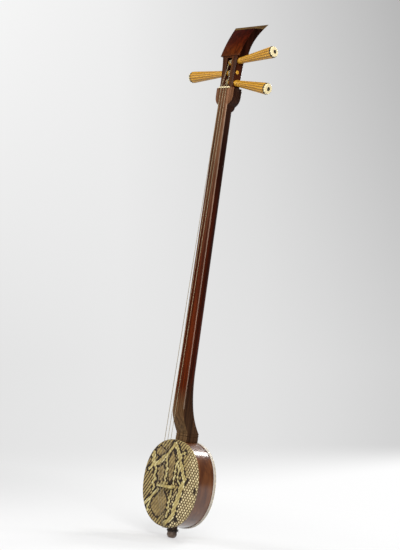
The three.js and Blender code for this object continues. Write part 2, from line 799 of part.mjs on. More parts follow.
// The turns of a string on its peg, beside the part turn, with both ends run out straight.
function windingPath(i) {
  const plan = stringPlans[i];
  const frame = pegFrames[plan.peg];
  const diameter = stringDiameters[i];
  const pitch = diameter + windingGap;
  const radius = windingRadius(frame, diameter);
  const towards = frame.side * plan.laySide;
  const count = windingTurns * windingSteps;
  const distanceAt = (k) => hitchDistance(plan) + towards * pitch * (1 + k / windingSteps);
  const points = Array.from({ length: count + 1 }, (_, k) => (
    pegPoint(frame, distanceAt(k), radius, 2 * Math.PI * k / windingSteps)
  ));
  return withStraightEnds(points, diameter);
}

function withStraightEnds(points, length) {
  const first = points[0].clone().sub(points[1]).setLength(length).add(points[0]);
  const last = points.at(-1).clone().sub(points.at(-2)).setLength(length).add(points.at(-1));
  return [first, ...points, last];
}

// Least gap of a wound tube to itself: between points that are at least half a turn apart.
function leastGap(points, diameter, stepsPerTurn) {
  let least = Infinity;
  for (let a = 0; a < points.length; a++) {
    for (let b = a + Math.ceil(stepsPerTurn / 2); b < points.length; b++) {
      least = Math.min(least, points[a].distanceTo(points[b]) - diameter);
    }
  }
  return least;
}

function makeStrings() {
  stringDiameters.forEach((diameter, i) => {
    const name = `string_${i + 1}`;
    place(name, tube(stringPath(i), diameter, stringSides), 'string');
    const turns = windingPath(i);
    place(`${name}_winding`, tube(turns, diameter, windingSides), 'string');
    console.log(`${name}_winding least gap ${leastGap(turns, diameter, windingSteps).toFixed(2)} mm`);
  });
}

// One ring of a reeded or scalloped round: lobes with sharp valleys between them. A phase of
// one half puts the lobes where the valleys were.
function lobedRing(frame, distance, radius, valleyShare, phase = 0) {
  const count = pegReeds * stepsPerReed;
  return Array.from({ length: count }, (_, i) => {
    const along = ((i + phase * stepsPerReed) % stepsPerReed) / stepsPerReed;
    const lobe = 1 - valleyShare * (1 - Math.sin(Math.PI * along));
    return pegPoint(frame, distance, radius * lobe, 2 * Math.PI * i / count);
  });
}

function studHole(frame, start, end) {
  const ringAt = (distance) => Array.from({ length: roundSides / 2 }, (_, i) => (
    pegPoint(frame, distance, studShankDiameter / 2 + seatGap, 4 * Math.PI * i / roundSides)
  ));
  return loft([ringAt(start), ringAt(end)]);
}

function makePeg(frame, name) {
  const cheek = cheekAt(frame.heart.z);
  const tip = -cheek - pegTipProud;
  const shoulder = cheek + pegHandleGap;
  const handleEnd = shoulder + pegHandleLength;
  const neck = pegNeckDiameter / 2;
  const reedStart = shoulder + pegShoulderLength;
  const reedFull = reedStart + 4 * pegShoulderLength;
  const radiusAt = (distance) => THREE.MathUtils.lerp(
    neck, pegEndDiameter / 2, (distance - reedStart) / (handleEnd - reedStart),
  );
  const capBase = handleEnd + seatGap + pegRingThickness + seatGap;
  const capTop = capBase + pegCapThickness;
  const hole = studHole(frame, capTop - studShankLength - seatGap, capTop + cutOverrun);

  const handle = loft([
    lobedRing(frame, tip, shaftRadius(frame, tip) * pegTipShare, 0),
    lobedRing(frame, tip + pegTipProud / 2, shaftRadius(frame, tip), 0),
    lobedRing(frame, shoulder, shaftRadius(frame, shoulder), 0),
    lobedRing(frame, shoulder, neck * noseShares[0], 0),
    lobedRing(frame, shoulder + pegShoulderLength / 3, neck * noseShares[1], 0),
    lobedRing(frame, reedStart, neck, 0),
    lobedRing(frame, reedFull, radiusAt(reedFull), reedDepthShare),
    lobedRing(frame, handleEnd, pegEndDiameter / 2, reedDepthShare),
  ]);
  place(name, cut(handle, hole), 'boxwood');

  // The ring's lobes lie between those of the handle and the cap, and show there as dark dots.
  const ring = loft([0, pegRingThickness].map((height) => (
    lobedRing(frame, handleEnd + seatGap + height, pegRingDiameter / 2, reedDepthShare, 1 / 2)
  )));
  place(`${name}_ring`, cut(ring, hole), 'horn');

  const capRing = (heightShare, share, notch) => (
    lobedRing(frame, capBase + pegCapThickness * heightShare, pegCapDiameter / 2 * share, notch)
  );
  const cap = loft([
    capRing(0, 1, capNotchShare),
    capRing(capRimHeightShare, 1, capNotchShare),
    capRing(capShoulderHeightShare, capShoulderShare, capNotchShare),
    capRing(1, capFaceShare, capNotchShare / 2),
  ]);
  place(`${name}_cap`, cut(cap, hole), 'bone');

  const studRing = (distance, radius) => Array.from({ length: roundSides / 2 }, (_, i) => (
    pegPoint(frame, distance, radius, 4 * Math.PI * i / roundSides)
  ));
  place(`${name}_stud`, loft([
    studRing(capTop - studShankLength, studShankDiameter / 2),
    studRing(capTop + seatGap, studShankDiameter / 2),
    studRing(capTop + seatGap, studHeadDiameter / 2),
    studRing(
      capTop + seatGap + studHeadHeight * studRimHeightShare, studHeadDiameter / 2 * studRimShare,
    ),
    studRing(capTop + seatGap + studHeadHeight, studHeadDiameter / 2 * studCrownShare),
  ]), 'horn');
}

// The spike runs from the neck's collar through the drum, and its round tenon carries the tail pin.
function makeSpike() {
  const lowBoard = drumMiddle - boardHalfHeight + boardThickness;
  const tenonFoot = tailPinLength - tailSocketDepth;
  const bar = block(
    [-spikeWidth / 2, -spikeWidth / 2, lowBoard + spikeShoulderClearance],
    [spikeWidth / 2, spikeWidth / 2, boardTop + spikeMortiseDepth],
  );
  const tenonLength = lowBoard + spikeShoulderClearance + cutOverrun - tenonFoot;
  const tenon = new THREE.CylinderGeometry(
    spikeTenonDiameter / 2, spikeTenonDiameter / 2, tenonLength, roundSides,
  );
  tenon.rotateX(Math.PI / 2).translate(0, 0, tenonFoot + tenonLength / 2);
  place('neck_spike', join(bar, tenon), 'redwood');
}

function makeTailPin() {
  const radius = tailPinDiameter / 2;
  const waist = tailPinWaist / 2;
  const top = tailPinLength - seatGap;
  const socket = spikeTenonDiameter / 2 + seatGap;
  const socketFloor = tailPinLength - tailSocketDepth - seatGap;
  const flat = tailPinFlatDiameter / 2;
  const domeSteps = 6;
  const profile = [new THREE.Vector2(0, 0)];
  for (let i = 0; i <= domeSteps; i++) {
    const turn = Math.PI / 2 * i / domeSteps;
    const reach = flat + (radius - flat) * Math.sin(turn);
    profile.push(new THREE.Vector2(reach, tailPinDomeHeight * (1 - Math.cos(turn))));
  }
  profile.push(
    new THREE.Vector2(waist, tailPinWaistStart),
    new THREE.Vector2(waist, top),
    new THREE.Vector2(socket, top),
    new THREE.Vector2(socket, socketFloor),
    new THREE.Vector2(0, socketFloor),
  );
  const geometry = new THREE.LatheGeometry(profile, roundSides).rotateX(Math.PI / 2);
  place('tail_pin', tidied(geometry), 'redwood');
}

// The strings' lower ends are bound round the tail pin with a few turns of cord.
function makeTailBinding() {
  const radius = tailPinWaist / 2 + seatGap + tailCordDiameter / 2;
  const pitch = tailCordDiameter + windingGap;
  const top = drumBottom - tailCordBelowDrum;
  const count = tailCordTurns * windingSteps;
  const points = Array.from({ length: count + 1 }, (_, k) => {
    const turn = 2 * Math.PI * k / windingSteps;
    const z = top - pitch * k / windingSteps;
    return new THREE.Vector3(radius * Math.cos(turn), radius * Math.sin(turn), z);
  });
  const path = withStraightEnds(points, tailCordDiameter);
  place('tail_binding', tube(path, tailCordDiameter, windingSides), 'tailCord');
  console.log(`tail_binding least gap ${leastGap(path, tailCordDiameter, windingSteps).toFixed(2)} mm`);
}

makeDrumFrame();
place('front_skin', skin(skinFront, frontSkirt), 'skin');
place('back_skin', skin(skinBack, backSkirt), 'rawSkin');
makeSpike();
makeTailPin();
makeNeck();
makeHead();
makeNut();
makeBridge();
['peg_low', 'peg_middle', 'peg_high'].forEach((name, i) => makePeg(pegFrames[i], name));
makeStrings();
makeTailBinding();

export default model;
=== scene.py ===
# %% [markdown]
# # A sanxian, a long-necked Chinese lute
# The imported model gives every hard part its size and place. This lesson dresses it: the woods,
# the python skins with their scales, the reeded boxwood pegs with bone caps, the silk strings,
# and the studio in which the instrument stands.

# %% Load the instrument
import json
import math
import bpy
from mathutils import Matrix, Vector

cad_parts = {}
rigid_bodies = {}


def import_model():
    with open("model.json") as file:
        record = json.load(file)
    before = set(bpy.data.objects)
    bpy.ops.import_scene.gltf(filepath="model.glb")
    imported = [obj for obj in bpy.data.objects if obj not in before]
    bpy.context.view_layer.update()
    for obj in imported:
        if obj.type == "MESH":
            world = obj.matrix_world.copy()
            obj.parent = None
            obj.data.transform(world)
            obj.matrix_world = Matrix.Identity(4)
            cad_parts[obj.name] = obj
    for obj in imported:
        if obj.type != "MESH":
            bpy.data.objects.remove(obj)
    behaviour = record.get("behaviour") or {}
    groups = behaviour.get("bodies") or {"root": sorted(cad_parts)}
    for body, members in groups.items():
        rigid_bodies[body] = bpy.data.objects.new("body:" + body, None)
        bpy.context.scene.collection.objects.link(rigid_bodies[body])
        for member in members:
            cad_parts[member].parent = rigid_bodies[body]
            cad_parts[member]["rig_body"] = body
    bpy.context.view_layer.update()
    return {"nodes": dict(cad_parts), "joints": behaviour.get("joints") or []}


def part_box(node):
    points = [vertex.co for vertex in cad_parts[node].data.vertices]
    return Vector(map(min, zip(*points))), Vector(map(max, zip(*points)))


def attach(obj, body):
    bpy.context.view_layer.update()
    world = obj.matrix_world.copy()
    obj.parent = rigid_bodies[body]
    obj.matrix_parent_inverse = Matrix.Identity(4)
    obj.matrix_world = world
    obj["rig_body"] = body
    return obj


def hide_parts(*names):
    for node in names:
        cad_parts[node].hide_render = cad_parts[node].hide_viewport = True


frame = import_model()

from types import SimpleNamespace

import bpy
import numpy as np
from mathutils import Matrix, Vector

MM = 0.001

# %% [markdown]
# ## The camera
# The picture is taken from the right of the front, from a little under mid height and with a
# long lens, and the camera is tipped to one side, so the instrument seems to lean. A constraint
# could aim the camera, but it would keep it level. So the camera is placed by the point that it
# looks at, its distance and three turns.

# %% The camera
PICTURE_LONG_SIDE = 550
FOCAL_LENGTH_IN_PIXELS = 1476.1
SENSOR_WIDTH_IN_MM = 36
AZIMUTH = math.radians(46.31)
ELEVATION = math.radians(-4.57)
ROLL = math.radians(8.23)
DISTANCE = 2657.5 * MM
LOOKED_AT = Vector((3.0, -25.6, 472.5)) * MM
SIGHT_LIMIT = 60   # in metres, beyond the floor's far edge

backwards = Vector((
    math.sin(AZIMUTH) * math.cos(ELEVATION),
    -math.cos(AZIMUTH) * math.cos(ELEVATION),
    math.sin(ELEVATION),
))
level_right = Vector((math.cos(AZIMUTH), math.sin(AZIMUTH), 0))
level_up = backwards.cross(level_right)
picture_right = level_right * math.cos(ROLL) + level_up * math.sin(ROLL)
picture_up = level_up * math.cos(ROLL) - level_right * math.sin(ROLL)

camera = bpy.data.objects.new("camera", bpy.data.cameras.new("camera"))
bpy.context.scene.collection.objects.link(camera)
camera.data.sensor_width = SENSOR_WIDTH_IN_MM
camera.data.lens = SENSOR_WIDTH_IN_MM * FOCAL_LENGTH_IN_PIXELS / PICTURE_LONG_SIDE
camera.data.clip_end = SIGHT_LIMIT
turn = Matrix((picture_right, picture_up, backwards)).transposed().to_4x4()
camera.matrix_world = Matrix.Translation(LOOKED_AT + backwards * DISTANCE) @ turn
bpy.context.scene.camera = camera
print("lens in mm:", round(camera.data.lens, 1), "height in mm:", round(camera.location.z / MM))

# %% [markdown]
# ## Helpers for materials
# A finish is a tree of nodes. It could be put together by hand in the shader editor, but written
# as code every number stays in sight. One helper turns a colour as people write it, such as
# #f0e2bd, into the linear numbers that Blender works in. The next adds a node, sets it and links
# it, and the last starts a material with plain values on its shader.


# %% Colours and nodes
def linear(hex_colour):
    """The curve of sRGB is undone for red, green and blue, and the colour is opaque."""
    channels = [int(hex_colour[i:i + 2], 16) / 255 for i in (1, 3, 5)]
    return [c / 12.92 if c <= 0.04045 else ((c + 0.055) / 1.055) ** 2.4 for c in channels] + [1]


def add(tree, kind, inputs=(), stops=(), **settings):
    """Adds a node. Its inputs are values, hex colours or other nodes' outputs."""
    node = tree.nodes.new(kind)
    for name, value in settings.items():
        setattr(node, name, value)
    for key, value in dict(inputs).items():
        if isinstance(value, bpy.types.NodeSocket):
            tree.links.new(value, node.inputs[key])
        else:
            node.inputs[key].default_value = linear(value) if isinstance(value, str) else value
    if stops:
        elements = node.color_ramp.elements
        while len(elements) < len(stops):
            elements.new(1)
        for element, (place, colour) in zip(elements, stops):
            element.position = place
            element.color = linear(colour)
    return node


def new_material(name, **sockets):
    """A material whose shader has these plain values."""
    material = bpy.data.materials.new(name)
    material.use_nodes = True
    shader = material.node_tree.nodes["Principled BSDF"]
    for socket, value in sockets.items():
        shader.inputs[socket.replace("_", " ")].default_value = value
    return material, material.node_tree, shader


print("mid grey in linear light:", round(linear("#808080")[0], 3))

# %% [markdown]
# ## Woods
# Every wood here shows three things, all drawn out along its grain: broad streaks, fine fibres
# and open pores. A picture of wood would repeat on parts this long. So noise makes all three,
# stretched along one axis, and each starts from its width in millimetres. Real pores are 0.1 mm
# wide, too fine to show, so they and the fibres are drawn wider. The colours are spread over the
# streaks: evenly on fresh wood, and with other colours at each height where it is worn.

# %% The colours of a wood
FIRST_COLOUR_AT, COLOURS_SPREAD = 0.4, 0.36   # the part of the noise that the colours share
WORN_AND_LIT_STREAKS = (0.45, 0.72)                   # the same on wood whose table of colours holds wear and painted light and shade
ARRIS_HIGHLIGHT_COLOUR = "#b3a08e"                      # a pale painted highlight on the broken front edges


def even_tone(tree, streaks, colours):
    """Colours run from the darkest streak to the lightest."""
    steps = len(colours) - 1
    stops = [(FIRST_COLOUR_AT + COLOURS_SPREAD * i / steps, c) for i, c in enumerate(colours)]
    return add(tree, "ShaderNodeValToRGB", {0: streaks}, stops).outputs[0]


def worn_and_lit_tone(tree, streaks, height, colours):
    """Each height has a dark and a light colour, and the streaks run between the two."""
    streak = add(tree, "ShaderNodeMapRange", {
        "Value": streaks, "From Min": WORN_AND_LIT_STREAKS[0], "From Max": WORN_AND_LIT_STREAKS[1],
    }).outputs[0]

    def by_height(steps):
        dark, light = (
            add(tree, "ShaderNodeValToRGB", {0: height}, [(step[0], step[i]) for step in steps])
            for i in (1, 2)
        )
        return add(tree, "ShaderNodeMixRGB", {
            "Fac": streak, "Color1": dark.outputs[0], "Color2": light.outputs[0],
        }).outputs[0]

    # The front's colours are lighter, partly for the worn stain and partly as painted light, and the
    # sides' colours are darker, partly as painted shade.
    rubbed = add(tree, "ShaderNodeAttribute", attribute_name="rubbed").outputs["Fac"]
    worn_and_lit = add(tree, "ShaderNodeMixRGB", {
        "Fac": rubbed, "Color1": by_height(colours["sides"]), "Color2": by_height(colours["front"]),
    })
    # A pale painted highlight on the broken front edges.
    arris = add(tree, "ShaderNodeAttribute", attribute_name="arris").outputs["Fac"]
    return add(tree, "ShaderNodeMixRGB", {
        "Fac": arris, "Color1": worn_and_lit.outputs[0], "Color2": ARRIS_HIGHLIGHT_COLOUR,
    }).outputs[0]


print("a broken edge in linear light:", [round(share, 2) for share in linear(ARRIS_HIGHLIGHT_COLOUR)[:3]])

# %% Painted shade and grime in grooves
GROOVE_SHADE_POWER = 3.0   # keeps the painted shade and grime at the bottom of a groove


def with_groove_shade(tree, colour, groove_shade):
    """Painted shade, with some dirt, darkens the colour where the attribute says that a groove is.
    """
    groove = add(tree, "ShaderNodeAttribute", attribute_name="groove").outputs["Fac"]
    bottom = add(tree, "ShaderNodeMath", {0: groove, 1: GROOVE_SHADE_POWER}, operation="POWER")
    return add(tree, "ShaderNodeMixRGB", {
        "Fac": bottom.outputs[0], "Color1": colour, "Color2": groove_shade,
    }).outputs[0]


print("grime half way down a groove:", 0.5 ** GROOVE_SHADE_POWER)

# %% Wood
WOOD_IOR = 1.5
FIBRE_WIDTH = 0.5 * MM
FIBRES_IN_STREAKS = 0.16            # how much the fibres add to the streaks
PORE_WIDTH = 0.9 * MM
PORE_PEAKS = (0.62, 0.7)            # only the peaks of the noise are pores
PORE_DARKNESS = 0.5
SMOOTHER, ROUGHER = 0.05, 0.1       # how far the streaks change the roughness
GRAIN_RELIEF, GRAIN_DEPTH = 0.15, 0.05 * MM


def wood(
    name, colours, streak_width, stretch, roughness,
    axis="Z", lean=0.0, pores=1.0, groove_shade=None, **sockets,
):
    """The grain runs along an axis. Wood with painted light and shade as well as wear has a table of
    colours, and other wood a list.
    """
    material, tree, shader = new_material(name, IOR=WOOD_IOR, **sockets)
    squeeze = [1, 1, 1]
    squeeze["XYZ".index(axis)] = 1 / stretch
    place = add(tree, "ShaderNodeTexCoord").outputs["Object"]
    turned = add(tree, "ShaderNodeMapping", {"Vector": place, "Rotation": (0, lean, 0)})
    grain = add(tree, "ShaderNodeMapping", {
        "Vector": turned.outputs[0], "Scale": squeeze,
    }).outputs[0]
    streaks = add(tree, "ShaderNodeTexNoise", {
        "Vector": grain, "Scale": 1 / streak_width, "Detail": 4, "Distortion": 0.6,
    }).outputs[0]
    fibres = add(tree, "ShaderNodeTexNoise", {
        "Vector": grain, "Scale": 1 / FIBRE_WIDTH, "Detail": 2,
    }).outputs[0]
    dots = add(tree, "ShaderNodeTexNoise", {
        "Vector": grain, "Scale": 1 / PORE_WIDTH, "Detail": 1,
    }).outputs[0]
    fibrous = add(tree, "ShaderNodeMath", {
        0: fibres, 1: FIBRES_IN_STREAKS, 2: streaks,
    }, operation="MULTIPLY_ADD").outputs[0]
    pore = add(tree, "ShaderNodeMapRange", {
        "Value": dots, "From Min": PORE_PEAKS[0], "From Max": PORE_PEAKS[1],
        "To Max": PORE_DARKNESS * pores,
    }).outputs[0]

    if isinstance(colours, dict):
        height = add(tree, "ShaderNodeSeparateXYZ", {0: place}).outputs["Z"]
        tone, pore_colour = worn_and_lit_tone(tree, fibrous, height, colours), colours["pores"]
    else:
        tone, pore_colour = even_tone(tree, fibrous, colours), colours[0]
    colour = add(tree, "ShaderNodeMixRGB", {
        "Fac": pore, "Color1": tone, "Color2": pore_colour,
    }).outputs[0]
    if groove_shade:
        colour = with_groove_shade(tree, colour, groove_shade)
    shine = add(tree, "ShaderNodeMapRange", {
        "Value": streaks, "To Min": roughness - SMOOTHER, "To Max": roughness + ROUGHER,
    })
    relief = add(tree, "ShaderNodeMath", {0: pore, 1: -1.0, 2: fibres}, operation="MULTIPLY_ADD")
    bump = add(tree, "ShaderNodeBump", {
        "Height": relief.outputs[0], "Strength": GRAIN_RELIEF, "Distance": GRAIN_DEPTH,
    })
    tree.links.new(colour, shader.inputs["Base Color"])
    tree.links.new(shine.outputs[0], shader.inputs["Roughness"])
    tree.links.new(bump.outputs[0], shader.inputs["Normal"])
    return material


# The spike is a plain bar inside the drum, sawn and left as it was: dull, even and light brown.
spike_wood = wood(
    "bare_spike_wood", ["#5a4026", "#7a5a38", "#93714a"],
    streak_width=3 * MM, stretch=25, roughness=0.6,
)
print("first wood:", spike_wood.name, "nodes:", len(spike_wood.node_tree.nodes))

# %% [markdown]
# ## The worn neck and head, with painted light and shade
# Both are rosewood, planed, stained nearly black and waxed, and the neck gets redder towards the
# drum. In front, where fingers and strings rub, the stain has worn off and the wood is lighter,
# and the front's colours also hold painted light, while the sides' colours hold painted shade.
# The broken front edges get a pale painted highlight, and the top of the neck's front a greyish
# painted sheen. One set of colours would make the neck look new and even. So the sides and the
# front each have their own colours, and these change with height.

# %% Rosewood
# Each row is a height in metres with the colours of the dark and the light streaks there. In
# both tables the front's rows are lighter partly for worn stain and partly as painted light, the
# sides' rows darker partly as painted shade, and the greyer front rows near the top of the neck
# are a painted sheen.
NECK_COLOURS = {
    "pores": "#1c0502",
    "sides": [
        (0.2, "#2a1a0f", "#4a3220"), (0.25, "#28160b", "#442816"), (0.29, "#250700", "#481502"),
        (0.5, "#200600", "#401202"), (0.7, "#140300", "#290c02"), (0.8, "#21100a", "#3e2519"),
    ],
    "front": [
        (0.2, "#4a3722", "#6f5438"), (0.235, "#4a331e", "#6b4b30"), (0.27, "#3a1201", "#5a1f03"),
        (0.4, "#3a1201", "#5c2106"), (0.5, "#381304", "#5a2611"), (0.72, "#422412", "#724f37"),
        (0.81, "#50301a", "#835b40"),
    ],
}
HEAD_COLOURS = {
    "pores": "#180201",
    "sides": [
        (0.83, "#2b0e04", "#4c2411"), (0.875, "#1a0501", "#301005"), (0.93, "#120300", "#240d05"),
    ],
    "front": [
        (0.83, "#331b0a", "#583720"), (0.872, "#321709", "#522f18"), (0.882, "#3c1604", "#582706"),
        (0.905, "#2f0a01", "#451302"), (0.94, "#1b0201", "#2d0503"),
    ],
}
# Wax sinks in and leaves a dark satin, with long thin streaks along the stick.
rosewood = wood(
    "waxed_rosewood", NECK_COLOURS,
    streak_width=4 * MM, stretch=40, roughness=0.36, Specular_IOR_Level=0.05,
)
# The head is cut from a wider plank, so its streaks are broad and short, and its pores filled.
head_rosewood = wood(
    "stained_rosewood", HEAD_COLOURS,
    streak_width=7 * MM, stretch=9, roughness=0.3, pores=0.25, Specular_IOR_Level=0.06,
)
print("worn woods:", rosewood.name, head_rosewood.name)

# %% [markdown]
# ## The other woods
# The drum's boards are a brown hardwood under clear lacquer. A lower roughness would only make
# the wood itself shine. Lacquer is a second, glassy surface over it, which the shader has as a
# coat, so the lamps draw a clear bright streak over wood that stays brown. The facing, the tail
# pin and the bamboo bridge are nearly bare. Where wood is only rubbed, the coat is faint.

# %% Lacquered and bare woods
# Clear lacquer, built up and rubbed down: deep brown, with streaks seen through the gloss.
lacquered = {
    axis: wood(
        f"lacquered_hardwood_{axis}", ["#47220a", "#552c0f", "#623616", "#70421f"],
        streak_width=9 * MM, stretch=9, roughness=0.4, axis=axis, pores=0.2,
        Coat_Weight=1.0, Coat_Roughness=0.2, Coat_IOR=1.58, Specular_IOR_Level=0.1,
    )
    for axis in "XZ"
}
# The facing is bare and a little greyed by hands, with a fine grain across the head.
facing_wood = wood(
    "bare_facing_wood", ["#2e1d0c", "#493213", "#5e441d", "#745930"],
    streak_width=2.5 * MM, stretch=12, roughness=0.55, axis="X", pores=0.15,
    Specular_IOR_Level=0.3,
)
# The pin is turned and rubbed by the ground and by hands, so it is greyish and smooth.
pin_wood = wood(
    "dark_pin_wood", ["#3a291c", "#523f31", "#685546", "#7a6653"],
    streak_width=2 * MM, stretch=12, roughness=0.45, Coat_Weight=0.1,
)
# Split bamboo is straw yellow, with fine straight fibres from foot to foot.
bamboo = wood(
    "bamboo", ["#7d6b3a", "#a8945a", "#c7b77a", "#d9cb96"],
    streak_width=1.2 * MM, stretch=12, roughness=0.45, axis="X", Coat_Weight=0.1,
)
print("other woods:", lacquered["X"].name, facing_wood.name, pin_wood.name, bamboo.name)

# %% [markdown]
# ## Bone and horn
# The nut and the caps are bone, sawn and polished by hand, and the rings and studs are dark
# horn. To the eye both are soft streaks between two close colours, so one function makes both.

# %% Bone and horn
DARK_UP_TO, LIGHT_FROM = 0.35, 0.6
STREAK_RELIEF, STREAK_DEPTH = 0.4, 0.03 * MM


def streaked(name, dark, light, width, roughness, squeeze=(1, 1, 1), **sockets):
    """A material with soft streaks of two colours."""
    material, tree, shader = new_material(name, Roughness=roughness, **sockets)
    place = add(tree, "ShaderNodeTexCoord").outputs["Object"]
    along = add(tree, "ShaderNodeMapping", {"Vector": place, "Scale": squeeze})
    noise = add(tree, "ShaderNodeTexNoise", {
        "Vector": along.outputs[0], "Scale": 1 / width, "Detail": 3,
    }).outputs[0]
    tone = add(tree, "ShaderNodeValToRGB", {0: noise}, [(DARK_UP_TO, dark), (LIGHT_FROM, light)])
    bump = add(tree, "ShaderNodeBump", {
        "Height": noise, "Strength": STREAK_RELIEF, "Distance": STREAK_DEPTH,
    })
    tree.links.new(tone.outputs[0], shader.inputs["Base Color"])
    tree.links.new(bump.outputs[0], shader.inputs["Normal"])
    return material


# Bone is cream, with faint lines along the nut and a soft polish.
bone = streaked(
    "polished_bone", "#d9c592", "#efe1b6",
    width=1.2 * MM, roughness=0.35, squeeze=(0.3, 1, 1), IOR=1.55,
)
# Horn is nearly black, a little brown where light gets in, and shines.
horn = streaked("dark_horn", "#171208", "#332a16", width=0.8 * MM, roughness=0.28, IOR=1.54)
print("fittings:", bone.name, horn.name)

# %% [markdown]
# ## Silk and cord
# The strings are silk, twisted and stiffened with glue, and a dark waxed cord binds the tail
# pin. The strands could be modelled, but on threads 1 mm thick a slanted wave of colour and
# relief looks the same and costs no faces. It is drawn a little coarser than the real twist.

# %% Threads
STRAND_SLANT = (math.radians(35), 0, math.radians(20))
WAVE_SCALE = 0.5             # a wave has 3.2 bands at a scale of 1, so this is 3 in two pitches
WAVE_DISTORTION = 1.0
GROOVE_UP_TO, STRAND_FROM = 0.1, 0.7
STRAND_RELIEF, STRAND_DEPTH = 0.5, 0.1 * MM


def twisted(name, dark, light, pitch, roughness):
    """Thread whose strands wind round it, as a slanted wave."""
    material, tree, shader = new_material(name, Roughness=roughness)
    place = add(tree, "ShaderNodeTexCoord").outputs["Object"]
    highlighted_arris = add(tree, "ShaderNodeMapping", {"Vector": place, "Rotation": STRAND_SLANT})
    wave = add(tree, "ShaderNodeTexWave", {
        "Vector": highlighted_arris.outputs[0], "Scale": WAVE_SCALE / pitch, "Distortion": WAVE_DISTORTION,
    }, bands_direction="Z").outputs["Fac"]
    tone = add(tree, "ShaderNodeValToRGB", {0: wave}, [(GROOVE_UP_TO, dark), (STRAND_FROM, light)])
    bump = add(tree, "ShaderNodeBump", {
        "Height": wave, "Strength": STRAND_RELIEF, "Distance": STRAND_DEPTH,
    })
    tree.links.new(tone.outputs[0], shader.inputs["Base Color"])
    tree.links.new(bump.outputs[0], shader.inputs["Normal"])
    return material


# The glue makes the silk smooth and a little shiny, and years have turned it straw brown.
silk = twisted("twisted_silk", "#6c5f46", "#9c8b69", pitch=0.7 * MM, roughness=0.45)
# Waxed cord is dark and dull.
tail_cord = twisted("waxed_cord", "#17110c", "#3a2f26", pitch=0.9 * MM, roughness=0.7)
print("threads:", silk.name, tail_cord.name)

# %% [markdown]
# ## Helpers for meshes
# An operator acts on all that is selected, so a piece is selected alone before it is worked on.
# Shapes and patterns are worked out for all points at once, which numpy does fast. A finished
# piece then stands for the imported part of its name.


def select_only(piece):
    bpy.ops.object.select_all(action="DESELECT")
    piece.select_set(True)
    bpy.context.view_layer.objects.active = piece


def vectors(items, name):
    """One row for each point, face or corner of a mesh, such as its place or its normal."""
    values = np.zeros(len(items) * 3, np.float32)
    items.foreach_get(name, values)
    return values.reshape(-1, 3)


def coordinates(piece):
    return vectors(piece.data.vertices, "co")


def mark(piece, domain, **marks):
    """Gives every point or face its own numbers, which a material reads by name."""
    for name, values in marks.items():
        attribute = piece.data.attributes.new(name, "FLOAT", domain)
        attribute.data.foreach_set("value", values.astype(np.float32))


def rise(value, start, width):
    """0 up to the start, and then evenly up to 1."""
    return np.clip((value - start) / width, 0, 1)


def apply_modifiers(piece):
    select_only(piece)
    for modifier in list(piece.modifiers):
        bpy.ops.object.modifier_apply(modifier=modifier.name)


def take_place(piece, node, material):
    """The piece gets its finish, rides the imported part's body and replaces that part."""
    piece.data.materials.clear()
    piece.data.materials.append(material)
    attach(piece, frame["nodes"][node]["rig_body"])
    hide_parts(node)
    return piece


# %% [markdown]
# ## Parts that keep their shape
# The carved parts are right as they are packed, but their edges are razor sharp. Real edges are
# broken by a scraper and then by hands. Modelling the parts anew would only repeat their shapes.
# So each is copied, its loose triangles are merged, its flat faces are joined, and a bevel
# breaks the edges.
#
# On the neck and the head, every face is marked for how far it faces the front, where the stain
# is rubbed off and the colours are lighter as painted light. Between the heel and the shoulder the
# hand slides along the neck, and there the broken edges beside the front are marked as well, for
# a pale painted highlight.

# %% Break the edges of the neck and the head
MERGE_DISTANCE = 0.002 * MM
FLAT_WITHIN = math.radians(0.3)
SHARP_FROM = 32                    # in degrees, from one face to the next
BEVEL_SEGMENTS = 2
HEEL_TOP, SHOULDER_FOOT = 250 * MM, 790 * MM
FRONT_START, FRONT_WIDTH = 0.35, 0.3   # shares of a normal that point forwards
SLANT_FROM = 0.3                   # and sideways


def finish_edges(node, material, edge_width=0, smooth_angle=SHARP_FROM):
    """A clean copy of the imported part, with broken edges, stands for it."""
    piece = bpy.data.objects.new(node + "_finished", frame["nodes"][node].data.copy())
    bpy.context.scene.collection.objects.link(piece)
    select_only(piece)
    bpy.ops.mesh.customdata_custom_splitnormals_clear()
    bpy.ops.object.mode_set(mode="EDIT")
    bpy.ops.mesh.select_all(action="SELECT")
    bpy.ops.mesh.remove_doubles(threshold=MERGE_DISTANCE)
    bpy.ops.mesh.dissolve_limited(angle_limit=FLAT_WITHIN)
    bpy.ops.object.mode_set(mode="OBJECT")
    if edge_width:
        bevel = piece.modifiers.new("broken edges", "BEVEL")
        bevel.width = edge_width
        bevel.segments = BEVEL_SEGMENTS
        bevel.limit_method = "ANGLE"
        bevel.angle_limit = math.radians(smooth_angle)
        apply_modifiers(piece)
    bpy.ops.object.shade_smooth_by_angle(angle=math.radians(smooth_angle))
    return take_place(piece, node, material)


def mark_worn_and_lit_faces(piece, arris_highlight_share):
    """Marks the faces that face the front, for worn stain and painted light, and how strong the
    painted highlight on the front's broken edges is.
    """
    normals = vectors(piece.data.polygons, "normal")
    heights = vectors(piece.data.polygons, "center")[:, 2]
    facing = rise(-normals[:, 1], FRONT_START, FRONT_WIDTH)
    between_heel_and_shoulder = (heights > HEEL_TOP) & (heights < SHOULDER_FOOT)
    # The broken front edges between the heel and the shoulder get a painted highlight.
    highlighted_arris = facing * (abs(normals[:, 0]) > SLANT_FROM) * between_heel_and_shoulder * arris_highlight_share
    mark(piece, "FACE", rubbed=facing, arris=highlighted_arris)
    print(piece.name, "faces:", len(facing), "on broken front edges:", np.count_nonzero(highlighted_arris))


mark_worn_and_lit_faces(finish_edges("neck", rosewood, edge_width=0.8 * MM), arris_highlight_share=0.3)
mark_worn_and_lit_faces(finish_edges("head", head_rosewood, edge_width=0.4 * MM), arris_highlight_share=0)

